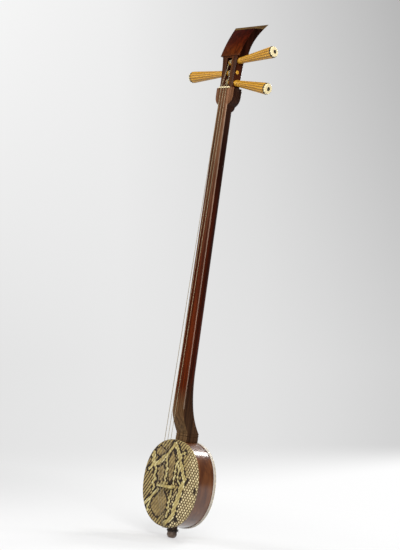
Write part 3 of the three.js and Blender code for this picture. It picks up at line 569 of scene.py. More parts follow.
# %% [markdown]
# ## Small parts
# The same bevel serves the facing, the spike, the tail pin, the nut and the bridge. The edges
# are a little rounder on wood than on bone, which is filed to a line for the strings.

# %% Break the edges of the small parts
SMALL_PARTS = [   # each with its finish and the width of its edges in millimetres
    ("head_facing", facing_wood, 0.3), ("neck_spike", spike_wood, 0.5), ("tail_pin", pin_wood, 0.3),
    ("nut", bone, 0.25), ("bridge", bamboo, 0.3),
]
for node, material, edge_width in SMALL_PARTS:
    piece = finish_edges(node, material, edge_width * MM)
    print(piece.name, "faces:", len(piece.data.polygons))

# %% [markdown]
# ## The drum's boards
# The frame is four boards, glued at the diagonals and then planed and lacquered as one, so no
# edge is broken at the joints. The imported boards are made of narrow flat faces, and on lacquer
# the streak of light would break at each. More faces would only make the steps finer. So the
# outside takes its normals from the oval itself, and light runs over it as over one surface.

# %% Polish the boards as one
OVAL_POWER = 2.2         # 2 is an ellipse, and more is fuller at the corners
OUTSIDE_WITHIN = 0.97    # the cosine of how far a face of the outside can turn from the oval
GRAIN_OF_BOARD = {"top": "X", "bottom": "X", "left": "Z", "right": "Z"}


def measure(skin, front=True):
    """The oval of a packed skin, how deep its edge is turned down, and which way it faces."""
    low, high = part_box(skin)
    return SimpleNamespace(
        half_x=(high.x - low.x) / 2, half_z=(high.z - low.z) / 2, middle_z=(high.z + low.z) / 2,
        skirt=high.y - low.y, face=low.y if front else high.y, inwards=1 if front else -1,
    )


def polish_outside(board, oval):
    """Turns the normals of the outside to the oval's, and counts them."""
    half_sizes = np.array((oval.half_x, oval.half_z))
    corners = np.zeros(len(board.data.loops), np.int32)
    board.data.loops.foreach_get("vertex_index", corners)
    normals = vectors(board.data.corner_normals, "vector")
    places = coordinates(board)[corners][:, (0, 2)] - (0, oval.middle_z)
    shares = places / half_sizes
    outwards = np.zeros_like(normals)
    outwards[:, (0, 2)] = np.sign(shares) * abs(shares) ** (OVAL_POWER - 1) / half_sizes
    outwards /= np.linalg.norm(outwards, axis=1)[:, None]
    outside = (normals * outwards).sum(axis=1) > OUTSIDE_WITHIN
    board.data.normals_split_custom_set(np.where(outside[:, None], outwards, normals))
    return outside.sum()


drum_oval = measure("front_skin")
for side, axis in GRAIN_OF_BOARD.items():
    board = finish_edges(f"drum_board_{side}", lacquered[axis])
    polished = polish_outside(board, drum_oval)
    print(side, "corners polished:", polished, "of", len(board.data.loops))

# %% [markdown]
# ## Strings and binding
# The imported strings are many-sided and need no bevel. A wider angle smooths them all round and
# leaves only their cut ends sharp.

# %% Smooth the threads
STRING_ANGLE, WINDING_ANGLE = 60, 70   # in degrees
for number in (1, 2, 3):
    finish_edges(f"string_{number}", silk, smooth_angle=STRING_ANGLE)
    finish_edges(f"string_{number}_winding", silk, smooth_angle=WINDING_ANGLE)
finish_edges("tail_binding", tail_cord, smooth_angle=WINDING_ANGLE)

# %% [markdown]
# ## The skins
# Python skin has small scales in slanted rows. Each is a low dome with a groove round it, and
# one scale has one colour, so every marking has a jagged edge. Light bands with dark edges wind
# over tan and olive ground. Bump alone would leave the skin flat where it is seen from the side.
# So the scales are real relief on a fine sheet of points, and the markings are a number on each
# point, which the material turns into colour.

# %% Scales
# Real scales are about 4 mm wide, too fine to show here, so they are drawn a little coarser.
ROW_SPACING = 5.7 * MM
SCALE_PITCH = 5.3 * MM   # from one scale to the next of its row
ROW_LEAN = math.radians(54)
ROW_SHIFT = 0.3          # each row starts this share of a scale further on
SWAY_X, SWAY_X_EVERY = 1.3 * MM, 19 * MM   # rows on a real skin are never quite straight
SWAY_Z, SWAY_Z_EVERY = 1.0 * MM, 15 * MM
# Odd factors and a large one, so that what is left after the point looks like chance.
ROW_FACTOR, COLUMN_FACTOR, LARGE_FACTOR = 12.9898, 78.233, 43758.5453


def luck_of(row, column):
    """A steady number from 0 to 1 for each scale, so that no two look quite alike."""
    return (np.sin(row * ROW_FACTOR + column * COLUMN_FACTOR) * LARGE_FACTOR) % 1


def scales_at(x, z):
    """For each point: its nearness to the middle of its scale, along its row and across it,
    where that middle is, and the scale's luck."""
    wavy_x = x + SWAY_X * np.sin(z / SWAY_X_EVERY)
    wavy_z = z + SWAY_Z * np.sin(x / SWAY_Z_EVERY)
    lean_x, lean_z = math.cos(ROW_LEAN), math.sin(ROW_LEAN)
    across = (wavy_x * lean_z - wavy_z * lean_x) / ROW_SPACING
    row = np.rint(across)
    upwards = (wavy_x * lean_x + wavy_z * lean_z) / SCALE_PITCH + ROW_SHIFT * row
    column = np.rint(upwards)
    middle_across = row * ROW_SPACING
    middle_up = (column - ROW_SHIFT * row) * SCALE_PITCH
    middle_x = middle_across * lean_z + middle_up * lean_x
    middle_z = middle_up * lean_z - middle_across * lean_x
    along, aside = 1 - 2 * abs(upwards - column), 1 - 2 * abs(across - row)
    return along, aside, middle_x, middle_z, luck_of(row, column)


print("scales on 100 mm squared:", round((100 * MM) ** 2 / (ROW_SPACING * SCALE_PITCH)))

# %% [markdown]
# ## The markings
# Each skin has its own, and these follow the instrument's front as it looks. Painting them on an
# image would blur them over the scales' edges. So they are drawn as a few broken lines with a
# width, for the light bands, and as rounded blotches, all in millimetres.

# %% Bands and blotches
# Middle lines of the light bands, each with its half width.
LIGHT_BANDS_MM = [
    (3.3, [(-40, 126), (-28, 137), (-19, 143), (-13, 149), (-6, 158), (-1, 166)]),
    (5.0, [(-35, 128), (-26, 138)]),
    (2.7, [(-60, 115), (-49, 126)]),
    (4.6, [(-51, 145), (-50, 133)]),
    (2.5, [
        (-44, 129), (-46, 122), (-40, 115), (-44, 107), (-37, 99), (-45, 93), (-39, 86), (-43, 80),
    ]),
    (2.7, [(-16, 138), (-14, 129), (-12, 120), (-13, 111), (-15, 94)]),
    (2.0, [(15, 140), (11, 133), (10, 124), (9, 109), (8, 101), (12, 92)]),
    (2.0, [(16, 131), (19, 119), (16, 111), (19, 104), (24, 99)]),
    (4.1, [(0, 167), (9, 160), (14, 151), (20, 139), (25, 128), (30, 117), (36, 108)]),
    (5.5, [(32, 100), (29, 89), (27, 78), (23, 66), (20, 56), (20, 47)]),
    (2.1, [(22, 145), (20, 150), (23, 153), (30, 155)]),
    (2.8, [(-28, 82), (-38, 71), (-46, 65), (-51, 60), (-58, 52)]),
    (2.2, [(-44, 61), (-47, 55), (-49, 49), (-47, 43)]),
    (2.7, [(7, 84), (4, 73), (4, 53), (6, 46), (3, 38)]),
    (4.5, [(18, 41), (11, 33), (1, 25)]),
]
# Middles and half sizes of the tan blotches, and of the dark ones.
TAN_BLOTCHES_MM = [
    ((-1, 127), (9, 27)), ((-27, 113), (9, 15)), ((-21, 59), (22, 25)), ((-34, 149), (13, 9)),
]
DARK_BLOTCHES_MM = [
    ((28, 36), (7, 4)), ((43, 106), (4, 5)), ((64, 91), (3, 6)), ((25, 144), (2.4, 8)),
]
BLOTCH_POWER = 1.5       # 1 is a diamond, 2 an ellipse


def distance_to(line, x, z):
    """Distance from each point to a broken line, all in millimetres."""
    best = np.full(x.shape, np.inf)
    for (x0, z0), (x1, z1) in zip(line, line[1:]):
        dx, dz = x1 - x0, z1 - z0
        along = np.clip(((x - x0) * dx + (z - z0) * dz) / (dx * dx + dz * dz), 0, 1)
        best = np.minimum(best, np.hypot(x - x0 - along * dx, z - z0 - along * dz))
    return best


def reach_of(blotch, x, z):
    """0 in the middle of a blotch, 1 at its edge."""
    (middle_x, middle_z), (half_x, half_z) = blotch
    across = abs(x - middle_x) / half_x
    upwards = abs(z - middle_z) / half_z
    return (across ** BLOTCH_POWER + upwards ** BLOTCH_POWER) ** (1 / BLOTCH_POWER)


print("bands:", len(LIGHT_BANDS_MM), "blotches:", len(TAN_BLOTCHES_MM) + len(DARK_BLOTCHES_MM))

# %% Tones of the markings
PALE, LIGHT, TAN, FIELD, DARK = 0.95, 0.74, 0.52, 0.62, 0.03
DARK_EDGE_MM = 2.5       # round each band and tan blotch
PALE_RIM_MM = 1.3        # a band is palest along its sides
# How strongly the gaps between the scales are darkened: darker skin, with painted shade in
# the grooves.
FIELD_GAPS, TAN_GAPS, BAND_GAPS = 0.8, 0.27, 0.3
# To the right of this the gaps get fainter, and at last they have lost this share.
FAINT_START_MM, FAINT_WIDTH_MM, FAINT_SHARE = 20, 20, 0.35
# Single scales have cream crowns on the right, and on the lower right below a slanted line:
# pale scales with a painted highlight on their tops.
RIGHT_CROWNS_START_MM, RIGHT_CROWNS_WIDTH_MM = 34, 18
LOW_CROWNS_START_MM, LOW_CROWNS_WIDTH_MM, LOW_CROWNS_SLANT, LOW_CROWNS_LEFT_MM = 18, 24, 0.7, 10


def front_markings(x, z, middle_z):
    """For each point: its tone, how strongly the gaps show, and how cream its crown is."""
    x, z, below_middle = x / MM, z / MM, (middle_z - z) / MM
    tone = np.full(x.shape, FIELD)
    gaps = np.full(x.shape, FIELD_GAPS)
    for blotch in TAN_BLOTCHES_MM:
        reach = reach_of(blotch, x, z)
        inside = reach < 1
        tone = np.where(reach < 1 + DARK_EDGE_MM / blotch[1][0], DARK, tone)
        tone = np.where(inside, TAN, tone)
        gaps = np.where(inside, TAN_GAPS, gaps)
    for half_width, line in LIGHT_BANDS_MM:
        away = distance_to(line, x, z)
        inside = away < half_width
        tone = np.where((away < half_width + DARK_EDGE_MM) & (tone < LIGHT), DARK, tone)
        tone = np.where(inside, np.where(away < half_width - PALE_RIM_MM, LIGHT, PALE), tone)
        gaps = np.where(inside, BAND_GAPS, gaps)
    for blotch in DARK_BLOTCHES_MM:
        tone = np.where(reach_of(blotch, x, z) < 1, DARK, tone)
    gaps = gaps * (1 - FAINT_SHARE * rise(x, FAINT_START_MM, FAINT_WIDTH_MM))
    right = rise(x, RIGHT_CROWNS_START_MM, RIGHT_CROWNS_WIDTH_MM)
    low = rise(below_middle + x * LOW_CROWNS_SLANT, LOW_CROWNS_START_MM, LOW_CROWNS_WIDTH_MM)
    low = low * (x > LOW_CROWNS_LEFT_MM)
    crown = np.where(tone == FIELD, np.maximum(right, low), 0)
    return tone, gaps, crown


def back_markings(x, z, middle_z):
    """The unseen back is a piece of the same kind of skin, with the markings upside down."""
    return front_markings(x, 2 * middle_z - z, middle_z)


print("tones from", DARK, "to", PALE)

# %% [markdown]
# ## The shape of a drumhead
# A drumhead is a wet skin pulled over the frame, with its edge turned down and glued. Cloth
# simulation could pull it, but a drumhead dries flat and tight, so its shape is simple. It
# begins as a square grid, because a round one has a pole in the middle. Its points are moved to
# fill the drum's oval, and then the open edge is extruded over the rim and down, in again under
# the skirt, and closed.

# %% A flat sheet in the drum's oval
GRID_STEPS = 280
RIM_RADIUS, RIM_STEPS = 1.8 * MM, 5
SKIN_THICKNESS = 0.9 * MM
AT_MIDDLE = 1e-9         # nearer to the middle than this, a point lies in no direction


def to_oval(points):
    """Moves a square's points, from -1 to 1 each way, into the drum's oval of the same size."""
    u, v = points[:, 0].copy(), points[:, 1].copy()
    x = u * np.sqrt(1 - v * v / 2)
    z = v * np.sqrt(1 - u * u / 2)
    reach = np.hypot(x, z)
    shape = (abs(x) ** OVAL_POWER + abs(z) ** OVAL_POWER) ** (1 / OVAL_POWER)
    grow = np.divide(reach, shape, out=np.ones_like(reach), where=shape > AT_MIDDLE)
    points[:, 0] = x * grow
    points[:, 1] = z * grow
    return points


def flat_sheet(name, oval):
    """A grid that fills the oval inside the rim."""
    bpy.ops.object.select_all(action="DESELECT")
    bpy.ops.mesh.primitive_grid_add(x_subdivisions=GRID_STEPS, y_subdivisions=GRID_STEPS, size=2)
    piece = bpy.context.object
    piece.name = name
    shares = to_oval(coordinates(piece))
    placed = np.empty_like(shares)
    placed[:, 0] = shares[:, 0] * (oval.half_x - RIM_RADIUS)
    placed[:, 1] = oval.face
    placed[:, 2] = shares[:, 1] * (oval.half_z - RIM_RADIUS) + oval.middle_z
    piece.data.vertices.foreach_set("co", placed.ravel())
    piece.data.update()
    return piece


print("points of a sheet:", (GRID_STEPS + 1) ** 2)


# %% Turn its edge down
def rim_steps(skirt):
    """Insets and depths: a quarter circle, down the skirt, in under it and back up inside."""
    steps = []
    for step in range(1, RIM_STEPS + 1):
        angle = math.pi / 2 * step / RIM_STEPS
        steps.append((RIM_RADIUS * (1 - math.sin(angle)), RIM_RADIUS * (1 - math.cos(angle))))
    return steps + [(0, skirt), (SKIN_THICKNESS, skirt), (SKIN_THICKNESS, SKIN_THICKNESS)]


def turn_edge_down(piece, oval):
    """Extrudes the sheet's open edge step by step, and closes it."""
    bpy.ops.object.mode_set(mode="EDIT")
    bpy.ops.mesh.select_mode(type="EDGE")
    bpy.ops.mesh.select_all(action="DESELECT")
    bpy.ops.mesh.select_non_manifold()
    inset, depth = RIM_RADIUS, 0
    for next_inset, next_depth in rim_steps(oval.skirt):
        move = (0, oval.inwards * (next_depth - depth), 0)
        bpy.ops.mesh.extrude_edges_move(TRANSFORM_OT_translate={"value": move})
        wider = (oval.half_x - next_inset) / (oval.half_x - inset)
        higher = (oval.half_z - next_inset) / (oval.half_z - inset)
        bpy.ops.transform.resize(value=(wider, 1, higher), center_override=(0, 0, oval.middle_z))
        inset, depth = next_inset, next_depth
    bpy.ops.mesh.edge_face_add()
    bpy.ops.mesh.select_all(action="SELECT")
    bpy.ops.mesh.normals_make_consistent(inside=False)
    bpy.ops.object.mode_set(mode="OBJECT")


print("steps of the edge:", len(rim_steps(drum_oval.skirt)))

# %% [markdown]
# ## The scales of a drumhead
# Each point finds its scale and its marking. A marking is looked up half way between the point
# and its scale's middle, so its edge is jagged, but follows the scales only loosely, as on a
# real skin. The scales of a slanted row run together, and single ones show only where their
# crowns are cream. Near the drum's edge the skin is stretched smooth.

# %% Dress the scales
SCALE_RELIEF = 0.35 * MM
JAGGEDNESS = 0.45
DOME_WIDTH = 0.7                   # a scale rises over this share of the way to its middle
UNMOVED = 0.6                      # the dome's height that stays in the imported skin's face
EDGE_SMOOTHING, EDGE_POWER = 0.7, 40
ROW_GAP, SCALE_GAP, GAP_WIDTH = 0.25, 0.2, 0.3
PARTED, PARTED_BY_CREAM = 0.2, 0.8   # how far the scales of a row are parted
TONE_LUCK = 0.14
CROWN_START, CROWN_WIDTH = 0.3, 0.3
CROWN_SURE = 0.5                   # the share of a crown's cream that isn't left to luck


def dress_scales(piece, oval, sheet_points, markings):
    """Raises the scales of the sheet, and marks each point for the skin's material."""
    points = coordinates(piece)
    from_middle = points[:, 2] - oval.middle_z
    # Over the rim and down the skirt the pattern runs on, as if the skin were still flat.
    drop = abs(points[:, 1] - oval.face)
    spread = 1 + drop / oval.half_x
    x, z = points[:, 0] * spread, oval.middle_z + from_middle * spread
    along, aside, scale_x, scale_z, luck = scales_at(x, z)
    nearness = np.minimum(along, aside)
    tone, gaps, crown = markings(
        x + (scale_x - x) * JAGGEDNESS, z + (scale_z - z) * JAGGEDNESS, oval.middle_z,
    )
    apart = PARTED + PARTED_BY_CREAM * crown
    on_row, on_scale = rise(aside, ROW_GAP, GAP_WIDTH), rise(along, SCALE_GAP, GAP_WIDTH)
    # The gaps between scales are darker in colour: darker skin, with painted shade in the grooves.
    lit = on_row * (1 - apart * (1 - on_scale))
    tone = (tone + (luck - 0.5) * TONE_LUCK) * (1 - gaps * (1 - lit))
    # The crowns' cream is partly pale scale and partly a painted highlight on the domes' tops.
    crown = crown * rise(nearness, CROWN_START, CROWN_WIDTH) * (CROWN_SURE + (1 - CROWN_SURE) * luck)
    dome = rise(nearness, 0, DOME_WIDTH)
    dome = dome * dome * (3 - 2 * dome)   # rounded at its foot and at its top

    reach = np.hypot(
        points[:, 0] / (oval.half_x - RIM_RADIUS), from_middle / (oval.half_z - RIM_RADIUS),
    )
    smoothed = 1 - EDGE_SMOOTHING * np.clip(reach, 0, 1) ** EDGE_POWER
    on_sheet = np.arange(len(points)) < sheet_points
    relief = np.where(on_sheet, (dome - UNMOVED) * smoothed, 0)
    points[:, 1] -= oval.inwards * SCALE_RELIEF * relief
    piece.data.vertices.foreach_set("co", points.ravel())
    on_skirt = rise(drop, RIM_RADIUS / 2, RIM_RADIUS)
    mark(piece, "POINT", dome=dome, tone=tone, crown=crown, skirt=on_skirt)


print("relief of the scales in mm:", SCALE_RELIEF / MM)

# %% [markdown]
# ## Snakeskin
# Raw python skin, scraped and dried, is leather with a dull sheen. Its scales are slightly
# glossy and the grooves between them dark and dry, and their darkness also paints the grooves'
# shade. A tan colour with a bump would look like any leather. So the tone on each point picks a
# colour from the skin's own range, cream crowns lie over it as pale scales with painted
# highlights, and the roughness follows the domes. Two noises add a cloudy unevenness and specks.

# %% Snakeskin
CLOUD_WIDTH, CLOUD_SHARE = 9 * MM, 0.3
SPECK_WIDTH, SPECK_SHARE = 0.8 * MM, 0.2
SPECK_RELIEF, SPECK_DEPTH = 0.35, 0.12 * MM
# The crowns' cream stands for pale scales with a painted highlight on their tops.
CROWN_CREAM_AND_HIGHLIGHT = "#ecdcae"
GROOVE_ROUGHNESS, DOME_ROUGHNESS = 0.75, 0.42


def snakeskin(name, ground, skirt_colour=None):
    """The ground's colours run from the bands' dark edges to their pale rims."""
    material, tree, shader = new_material(name, IOR=1.45, Specular_IOR_Level=0.3)
    dome, tone, crown = (
        add(tree, "ShaderNodeAttribute", attribute_name=key).outputs["Fac"]
        for key in ("dome", "tone", "crown")
    )
    place = add(tree, "ShaderNodeTexCoord").outputs["Object"]
    cloud = add(tree, "ShaderNodeTexNoise", {"Vector": place, "Scale": 1 / CLOUD_WIDTH, "Detail": 5})
    speck = add(tree, "ShaderNodeTexNoise", {"Vector": place, "Scale": 1 / SPECK_WIDTH, "Detail": 3})
    raised = add(tree, "ShaderNodeMath", {
        0: cloud.outputs[0], 1: CLOUD_SHARE, 2: tone,
    }, operation="MULTIPLY_ADD")
    clouded = add(tree, "ShaderNodeMath", {
        0: raised.outputs[0], 1: CLOUD_SHARE / 2,
    }, operation="SUBTRACT")
    base = add(tree, "ShaderNodeValToRGB", {0: clouded.outputs[0]}, ground)
    crowned = add(tree, "ShaderNodeMixRGB", {
        "Fac": crown, "Color1": base.outputs[0], "Color2": CROWN_CREAM_AND_HIGHLIGHT,
    })
    colour = add(tree, "ShaderNodeMixRGB", {
        "Fac": SPECK_SHARE, "Color1": crowned.outputs[0], "Color2": speck.outputs["Color"],
    }, blend_type="SOFT_LIGHT").outputs[0]
    if skirt_colour:
        skirt = add(tree, "ShaderNodeAttribute", attribute_name="skirt").outputs["Fac"]
        colour = add(tree, "ShaderNodeMixRGB", {
            "Fac": skirt, "Color1": colour, "Color2": skirt_colour,
        }).outputs[0]
    dry = add(tree, "ShaderNodeMapRange", {
        "Value": dome, "To Min": GROOVE_ROUGHNESS, "To Max": DOME_ROUGHNESS,
    })
    bump = add(tree, "ShaderNodeBump", {
        "Height": speck.outputs[0], "Strength": SPECK_RELIEF, "Distance": SPECK_DEPTH,
    })
    tree.links.new(colour, shader.inputs["Base Color"])
    tree.links.new(dry.outputs[0], shader.inputs["Roughness"])
    tree.links.new(bump.outputs[0], shader.inputs["Normal"])
    return material


print("specks in mm:", SPECK_WIDTH / MM)

# %% [markdown]
# ## The two drumheads
# The front skin faces the player's hand, which oils it, so it is olive and tan, and its narrow
# edge is like its face. The back skin is a cleaner, paler piece, turned down over more of the
# boards, and that edge is nearly bare hide. One function makes both, so that they are of a kind.

# %% Stretch both skins
SKIN_SMOOTH_ANGLE = math.radians(50)


def drumhead(node, front, markings, material):
    """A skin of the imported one's size, with its face to the front or to the back."""
    oval = measure(node, front)
    piece = flat_sheet(node + "_scaled", oval)
    sheet_points = len(piece.data.vertices)
    turn_edge_down(piece, oval)
    dress_scales(piece, oval, sheet_points, markings)
    select_only(piece)
    bpy.ops.object.shade_smooth_by_angle(angle=SKIN_SMOOTH_ANGLE)
    print(piece.name, "faces:", len(piece.data.polygons))
    return take_place(piece, node, material)


# Tan and olive between dark edges and pale rims, with a dull sheen on every scale.
OLIVE_GROUND = [
    (0.0, "#1f150c"), (0.15, "#382a1a"), (0.35, "#695739"), (0.53, "#957f52"),
    (0.7, "#ad9c62"), (0.85, "#c0b27a"), (1.0, "#d3c89c"),
]
python_front = snakeskin("python_front", OLIVE_GROUND)
# The same skin scraped paler: greyish cream, and plain where it is turned down.
PALE_GROUND = [(0.1, "#6b5f45"), (0.4, "#a39a80"), (0.75, "#c9c1ad"), (1.0, "#dcd6c6")]
python_back = snakeskin("python_back", PALE_GROUND, "#c2b9ae")
drumhead("front_skin", True, front_markings, python_front)
drumhead("back_skin", False, back_markings, python_back)

# %% [markdown]
# ## The pegs
# A peg is turned from boxwood. Its handle has twelve reeds, which swell towards a dark horn ring
# and a scalloped bone cap. A bevel on twelve cylinders would never meet in such clean valleys.
# So a flat star of points is pulled out ring by ring and then subdivided, and a crease on each
# valley keeps it sharp.

# %% Plain rounds
REEDS = 12
HALF_REED = math.pi / REEDS


def plain_round(name, rings):
    """A closed round about +Z, pulled up from its lowest ring."""
    height, radius, _ = rings[0]
    bpy.ops.object.select_all(action="DESELECT")
    bpy.ops.mesh.primitive_circle_add(
        vertices=2 * REEDS, radius=radius * MM, fill_type="NGON", location=(0, 0, height * MM),
    )
    piece = bpy.context.object
    piece.name = name
    bpy.ops.object.transform_apply(location=True)
    bpy.ops.object.mode_set(mode="EDIT")
    for (low, thin, _), (high, thick, _) in zip(rings, rings[1:]):
        bpy.ops.mesh.extrude_region_move(
            TRANSFORM_OT_translate={"value": (0, 0, (high - low) * MM)},
        )
        grow = thick / thin
        bpy.ops.transform.resize(value=(grow, grow, 1), center_override=(0, 0, 0))
    bpy.ops.mesh.select_all(action="SELECT")
    bpy.ops.mesh.normals_make_consistent(inside=False)
    bpy.ops.object.mode_set(mode="OBJECT")
    return piece


print("points on a ring:", 2 * REEDS)

# %% Reeds
VALLEY_CREASE = 0.8
SMOOTH_LEVELS = 2
PEG_SMOOTH_ANGLE = math.radians(40)
SAME_HEIGHT = 0.01 * MM


def select_points(piece, flags):
    """Goes into edit mode with just these points selected, and the edges between them."""
    select_only(piece)
    piece.data.vertices.foreach_set("select", flags)
    piece.data.edges.foreach_set("select", np.zeros(len(piece.data.edges), bool))
    piece.data.polygons.foreach_set("select", np.zeros(len(piece.data.polygons), bool))
    bpy.ops.object.mode_set(mode="EDIT")
    bpy.ops.mesh.select_mode(type="VERT")


def reeded(name, rings):
    """Each ring has a height and a radius in mm, and the share that its valleys lose."""
    piece = plain_round(name, rings)
    points = coordinates(piece)
    step = np.rint(np.arctan2(points[:, 1], points[:, 0]) / HALF_REED)
    valley = step % 2 == 1
    drawn = np.zeros(len(points), bool)
    for height, _, loss in rings:
        ring = valley & (abs(points[:, 2] - height * MM) < SAME_HEIGHT)
        if loss:
            select_points(piece, ring)
            bpy.ops.transform.resize(value=(1 - loss, 1 - loss, 1), center_override=(0, 0, 0))
            bpy.ops.object.mode_set(mode="OBJECT")
            drawn |= ring
    select_points(piece, drawn)
    bpy.ops.transform.edge_crease(value=VALLEY_CREASE)
    bpy.ops.object.mode_set(mode="OBJECT")
    mark(piece, "POINT", groove=drawn)
    smooth = piece.modifiers.new("smooth", "SUBSURF")
    smooth.levels = smooth.render_levels = SMOOTH_LEVELS
    apply_modifiers(piece)
    bpy.ops.object.shade_smooth_by_angle(angle=PEG_SMOOTH_ANGLE)
    print(name, "faces:", len(piece.data.polygons))
    return piece


print("each subdivided face becomes:", 4 ** SMOOTH_LEVELS)

# %% [markdown]
# ## One pattern of each peg piece
# All four pieces of a peg are such rounds. The shaft has no reeds, and they begin beyond its
# collar. The horn ring's lobes lie between those of the handle and the cap, and show there as
# dark dots.

# %% Turn the patterns
SHAFT_LENGTH = 34.7
HANDLE_LENGTH = 80
FULL_DEPTH = 0.15
handle_rings = [
    (-SHAFT_LENGTH, 2.6, 0), (-34.5, 3.3, 0), (-33.9, 3.8, 0), (-33.0, 3.85, 0),
    (-2.0, 5.2, 0), (-0.5, 5.2, 0), (0.0, 4.9, 0), (0.5, 5.4, 0), (1.3, 5.85, 0), (2.6, 6.0, 0),
    (4.5, 6.15, 0.04), (8, 6.4, 0.1), (13, 6.75, FULL_DEPTH), (30, 7.95, FULL_DEPTH),
    (55, 9.7, FULL_DEPTH), (77.8, 11.3, FULL_DEPTH), (79.3, 11.4, FULL_DEPTH),
    (79.9, 11.1, FULL_DEPTH), (HANDLE_LENGTH, 10.4, 0.1),
]
ring_rings = [
    (0, 10.8, 0.12), (0.1, 11.3, 0.14), (0.4, 11.5, 0.15), (1.0, 11.5, 0.15), (1.3, 11.3, 0.14),
    (1.4, 10.8, 0.12),
]
cap_rings = [
    (0, 10.1, 0.19), (0.1, 10.6, 0.21), (1.5, 10.8, 0.21), (2.4, 10.6, 0.21), (2.85, 10.0, 0.2),
    (3.0, 9.0, 0.13), (3.05, 5.0, 0.0),
]
stud_rings = [
    (-0.8, 1.4, 0), (-0.1, 1.4, 0), (0, 3.2, 0), (0.3, 3.55, 0), (0.6, 3.2, 0), (0.85, 2.0, 0),
    (0.95, 0.7, 0),
]
# What is modelled, its rings, how far its foot lies from the handle's end, and its turn.
PEG_PARTS = [
    ("", handle_rings, -HANDLE_LENGTH, HALF_REED), ("_ring", ring_rings, 0.3, 0),
    ("_cap", cap_rings, 2.0, HALF_REED), ("_stud", stud_rings, 5.3, 0),
]
patterns = [
    (part, reeded("pattern" + part, rings), foot, turn) for part, rings, foot, turn in PEG_PARTS
]

# %% [markdown]
# ## Three pegs from one pattern
# All three pegs are alike, so each pattern is copied to each peg's axis, which the joint gives.
# Only the shafts differ: each is stretched to reach through its own two cheeks. The grain has
# to follow each peg too, so each has a boxwood of its own, turned by the peg's tilt.

# %% Set the pegs
PEG_BODIES = {"peg_low": "low_peg", "peg_middle": "middle_peg", "peg_high": "high_peg"}
BOXWOOD_COLOURS = ["#b47f1c", "#be8820", "#c79227", "#cf9c31"]
# Painted shade in the reeds' valleys, with some grime.
GROOVE_SHADE_COLOUR = "#5a370a"
joint_of = {joint["child"]: joint for joint in frame["joints"]}

for peg, body in PEG_BODIES.items():
    heart = Vector(joint_of[body]["pos_m"])
    along = Vector(joint_of[body]["axis"]).normalized()
    across = Vector((0, 1, 0))
    reach = coordinates(frame["nodes"][peg]) @ np.array(along) - heart.dot(along)
    handle_end = reach.max()
    shaft_length = handle_end - HANDLE_LENGTH * MM - reach.min()
    axes = Matrix((across, along.cross(across), along)).transposed().to_4x4()
    tilt = math.atan2(along.z, along.x)
    # Boxwood is dense, with hardly any grain: even yellow with a soft polish. The valleys
    # are darker brown, painted shade with some grime, where no hand rubs it out.
    boxwood = wood(
        f"polished_boxwood_{peg}", BOXWOOD_COLOURS,
        streak_width=2.4 * MM, stretch=40, roughness=0.36, axis="X", lean=tilt,
        pores=0, groove_shade=GROOVE_SHADE_COLOUR, Coat_Weight=0.08,
    )
    finishes = {"": boxwood, "_ring": horn, "_cap": bone, "_stud": horn}
    for part, pattern, foot, turn in patterns:
        piece = bpy.data.objects.new(peg + part + "_turned", pattern.data.copy())
        bpy.context.scene.collection.objects.link(piece)
        if not part:
            points = coordinates(piece)
            stretch = shaft_length / (SHAFT_LENGTH * MM)
            points[:, 2] *= np.where(points[:, 2] < 0, stretch, 1)
            piece.data.vertices.foreach_set("co", points.ravel())
        place = Matrix.Translation(heart + along * (handle_end + foot * MM))
        piece.data.transform(place @ axes @ Matrix.Rotation(turn, 4, "Z"))
        piece.data.update()
        take_place(piece, peg + part, finishes[part])
    print(peg, "shaft in mm:", round(shaft_length / MM, 1), "tilt:", round(math.degrees(tilt), 1))
for _, pattern, _, _ in patterns:
    bpy.data.objects.remove(pattern)

# %% [markdown]
# ## The tail knot
# The strings end under the drum in a knotted cord round the tail pin, and their cut ends fray
# out to one side. Hair could give hundreds of fibres, but only a few thick strands can be seen.
# Each is a curve with a round section. They become meshes and then one piece.

# %% Knot
KNOT_MIDDLE = Vector((10.6, -5.2, 14.4)) * MM
KNOT_SCALE = 0.85 * MM
KNOT_WIDTH, KNOT_HEIGHT = 0.6, 0.7   # the knot is pulled narrow and low
KNOT_POINTS = 30
KNOT_CORD = 1.3 * MM


def thread(name, points, diameter, closed=False):
    curve = bpy.data.curves.new(name, "CURVE")
    curve.dimensions = "3D"
    curve.bevel_depth = diameter / 2
    curve.bevel_resolution = 2
    curve.use_fill_caps = True
    spline = curve.splines.new("NURBS")
    spline.points.add(len(points) - 1)
    spline.use_endpoint_u = not closed
    spline.use_cyclic_u = closed
    spline.order_u = 4
    for point, place in zip(spline.points, points):
        point.co = (*place, 1)
    piece = bpy.data.objects.new(name, curve)
    bpy.context.scene.collection.objects.link(piece)
    return piece


def trefoil(turn):
    """A point of the simplest knot, whose cord winds round twice and crosses itself thrice."""
    x = (math.sin(turn) + 2 * math.sin(2 * turn)) * KNOT_WIDTH
    y = -math.sin(3 * turn)
    z = (math.cos(turn) - 2 * math.cos(2 * turn)) * KNOT_HEIGHT
    return KNOT_MIDDLE + KNOT_SCALE * Vector((x, y, z))


knot_points = [trefoil(2 * math.pi * i / KNOT_POINTS) for i in range(KNOT_POINTS)]
threads = [thread("tail_knot", knot_points, KNOT_CORD, closed=True)]
print("knot points:", len(knot_points))

# %% Frayed ends
STRANDS = 7
STRAND_CORD = 0.55 * MM
STRAND_REACH_MM, STRAND_LIFT_MM, STRAND_SWING = (5, 10), (-3.5, 2.5), (-0.3, 0.9)
STRAND_PLACES = (0, 0.25, 0.5, 0.75, 1)   # shares of its length
CURL_MM, CURL_ANGLE = 1.2, 3              # its height, and radians along the strand
KNOT_SMOOTH_ANGLE = math.radians(60)


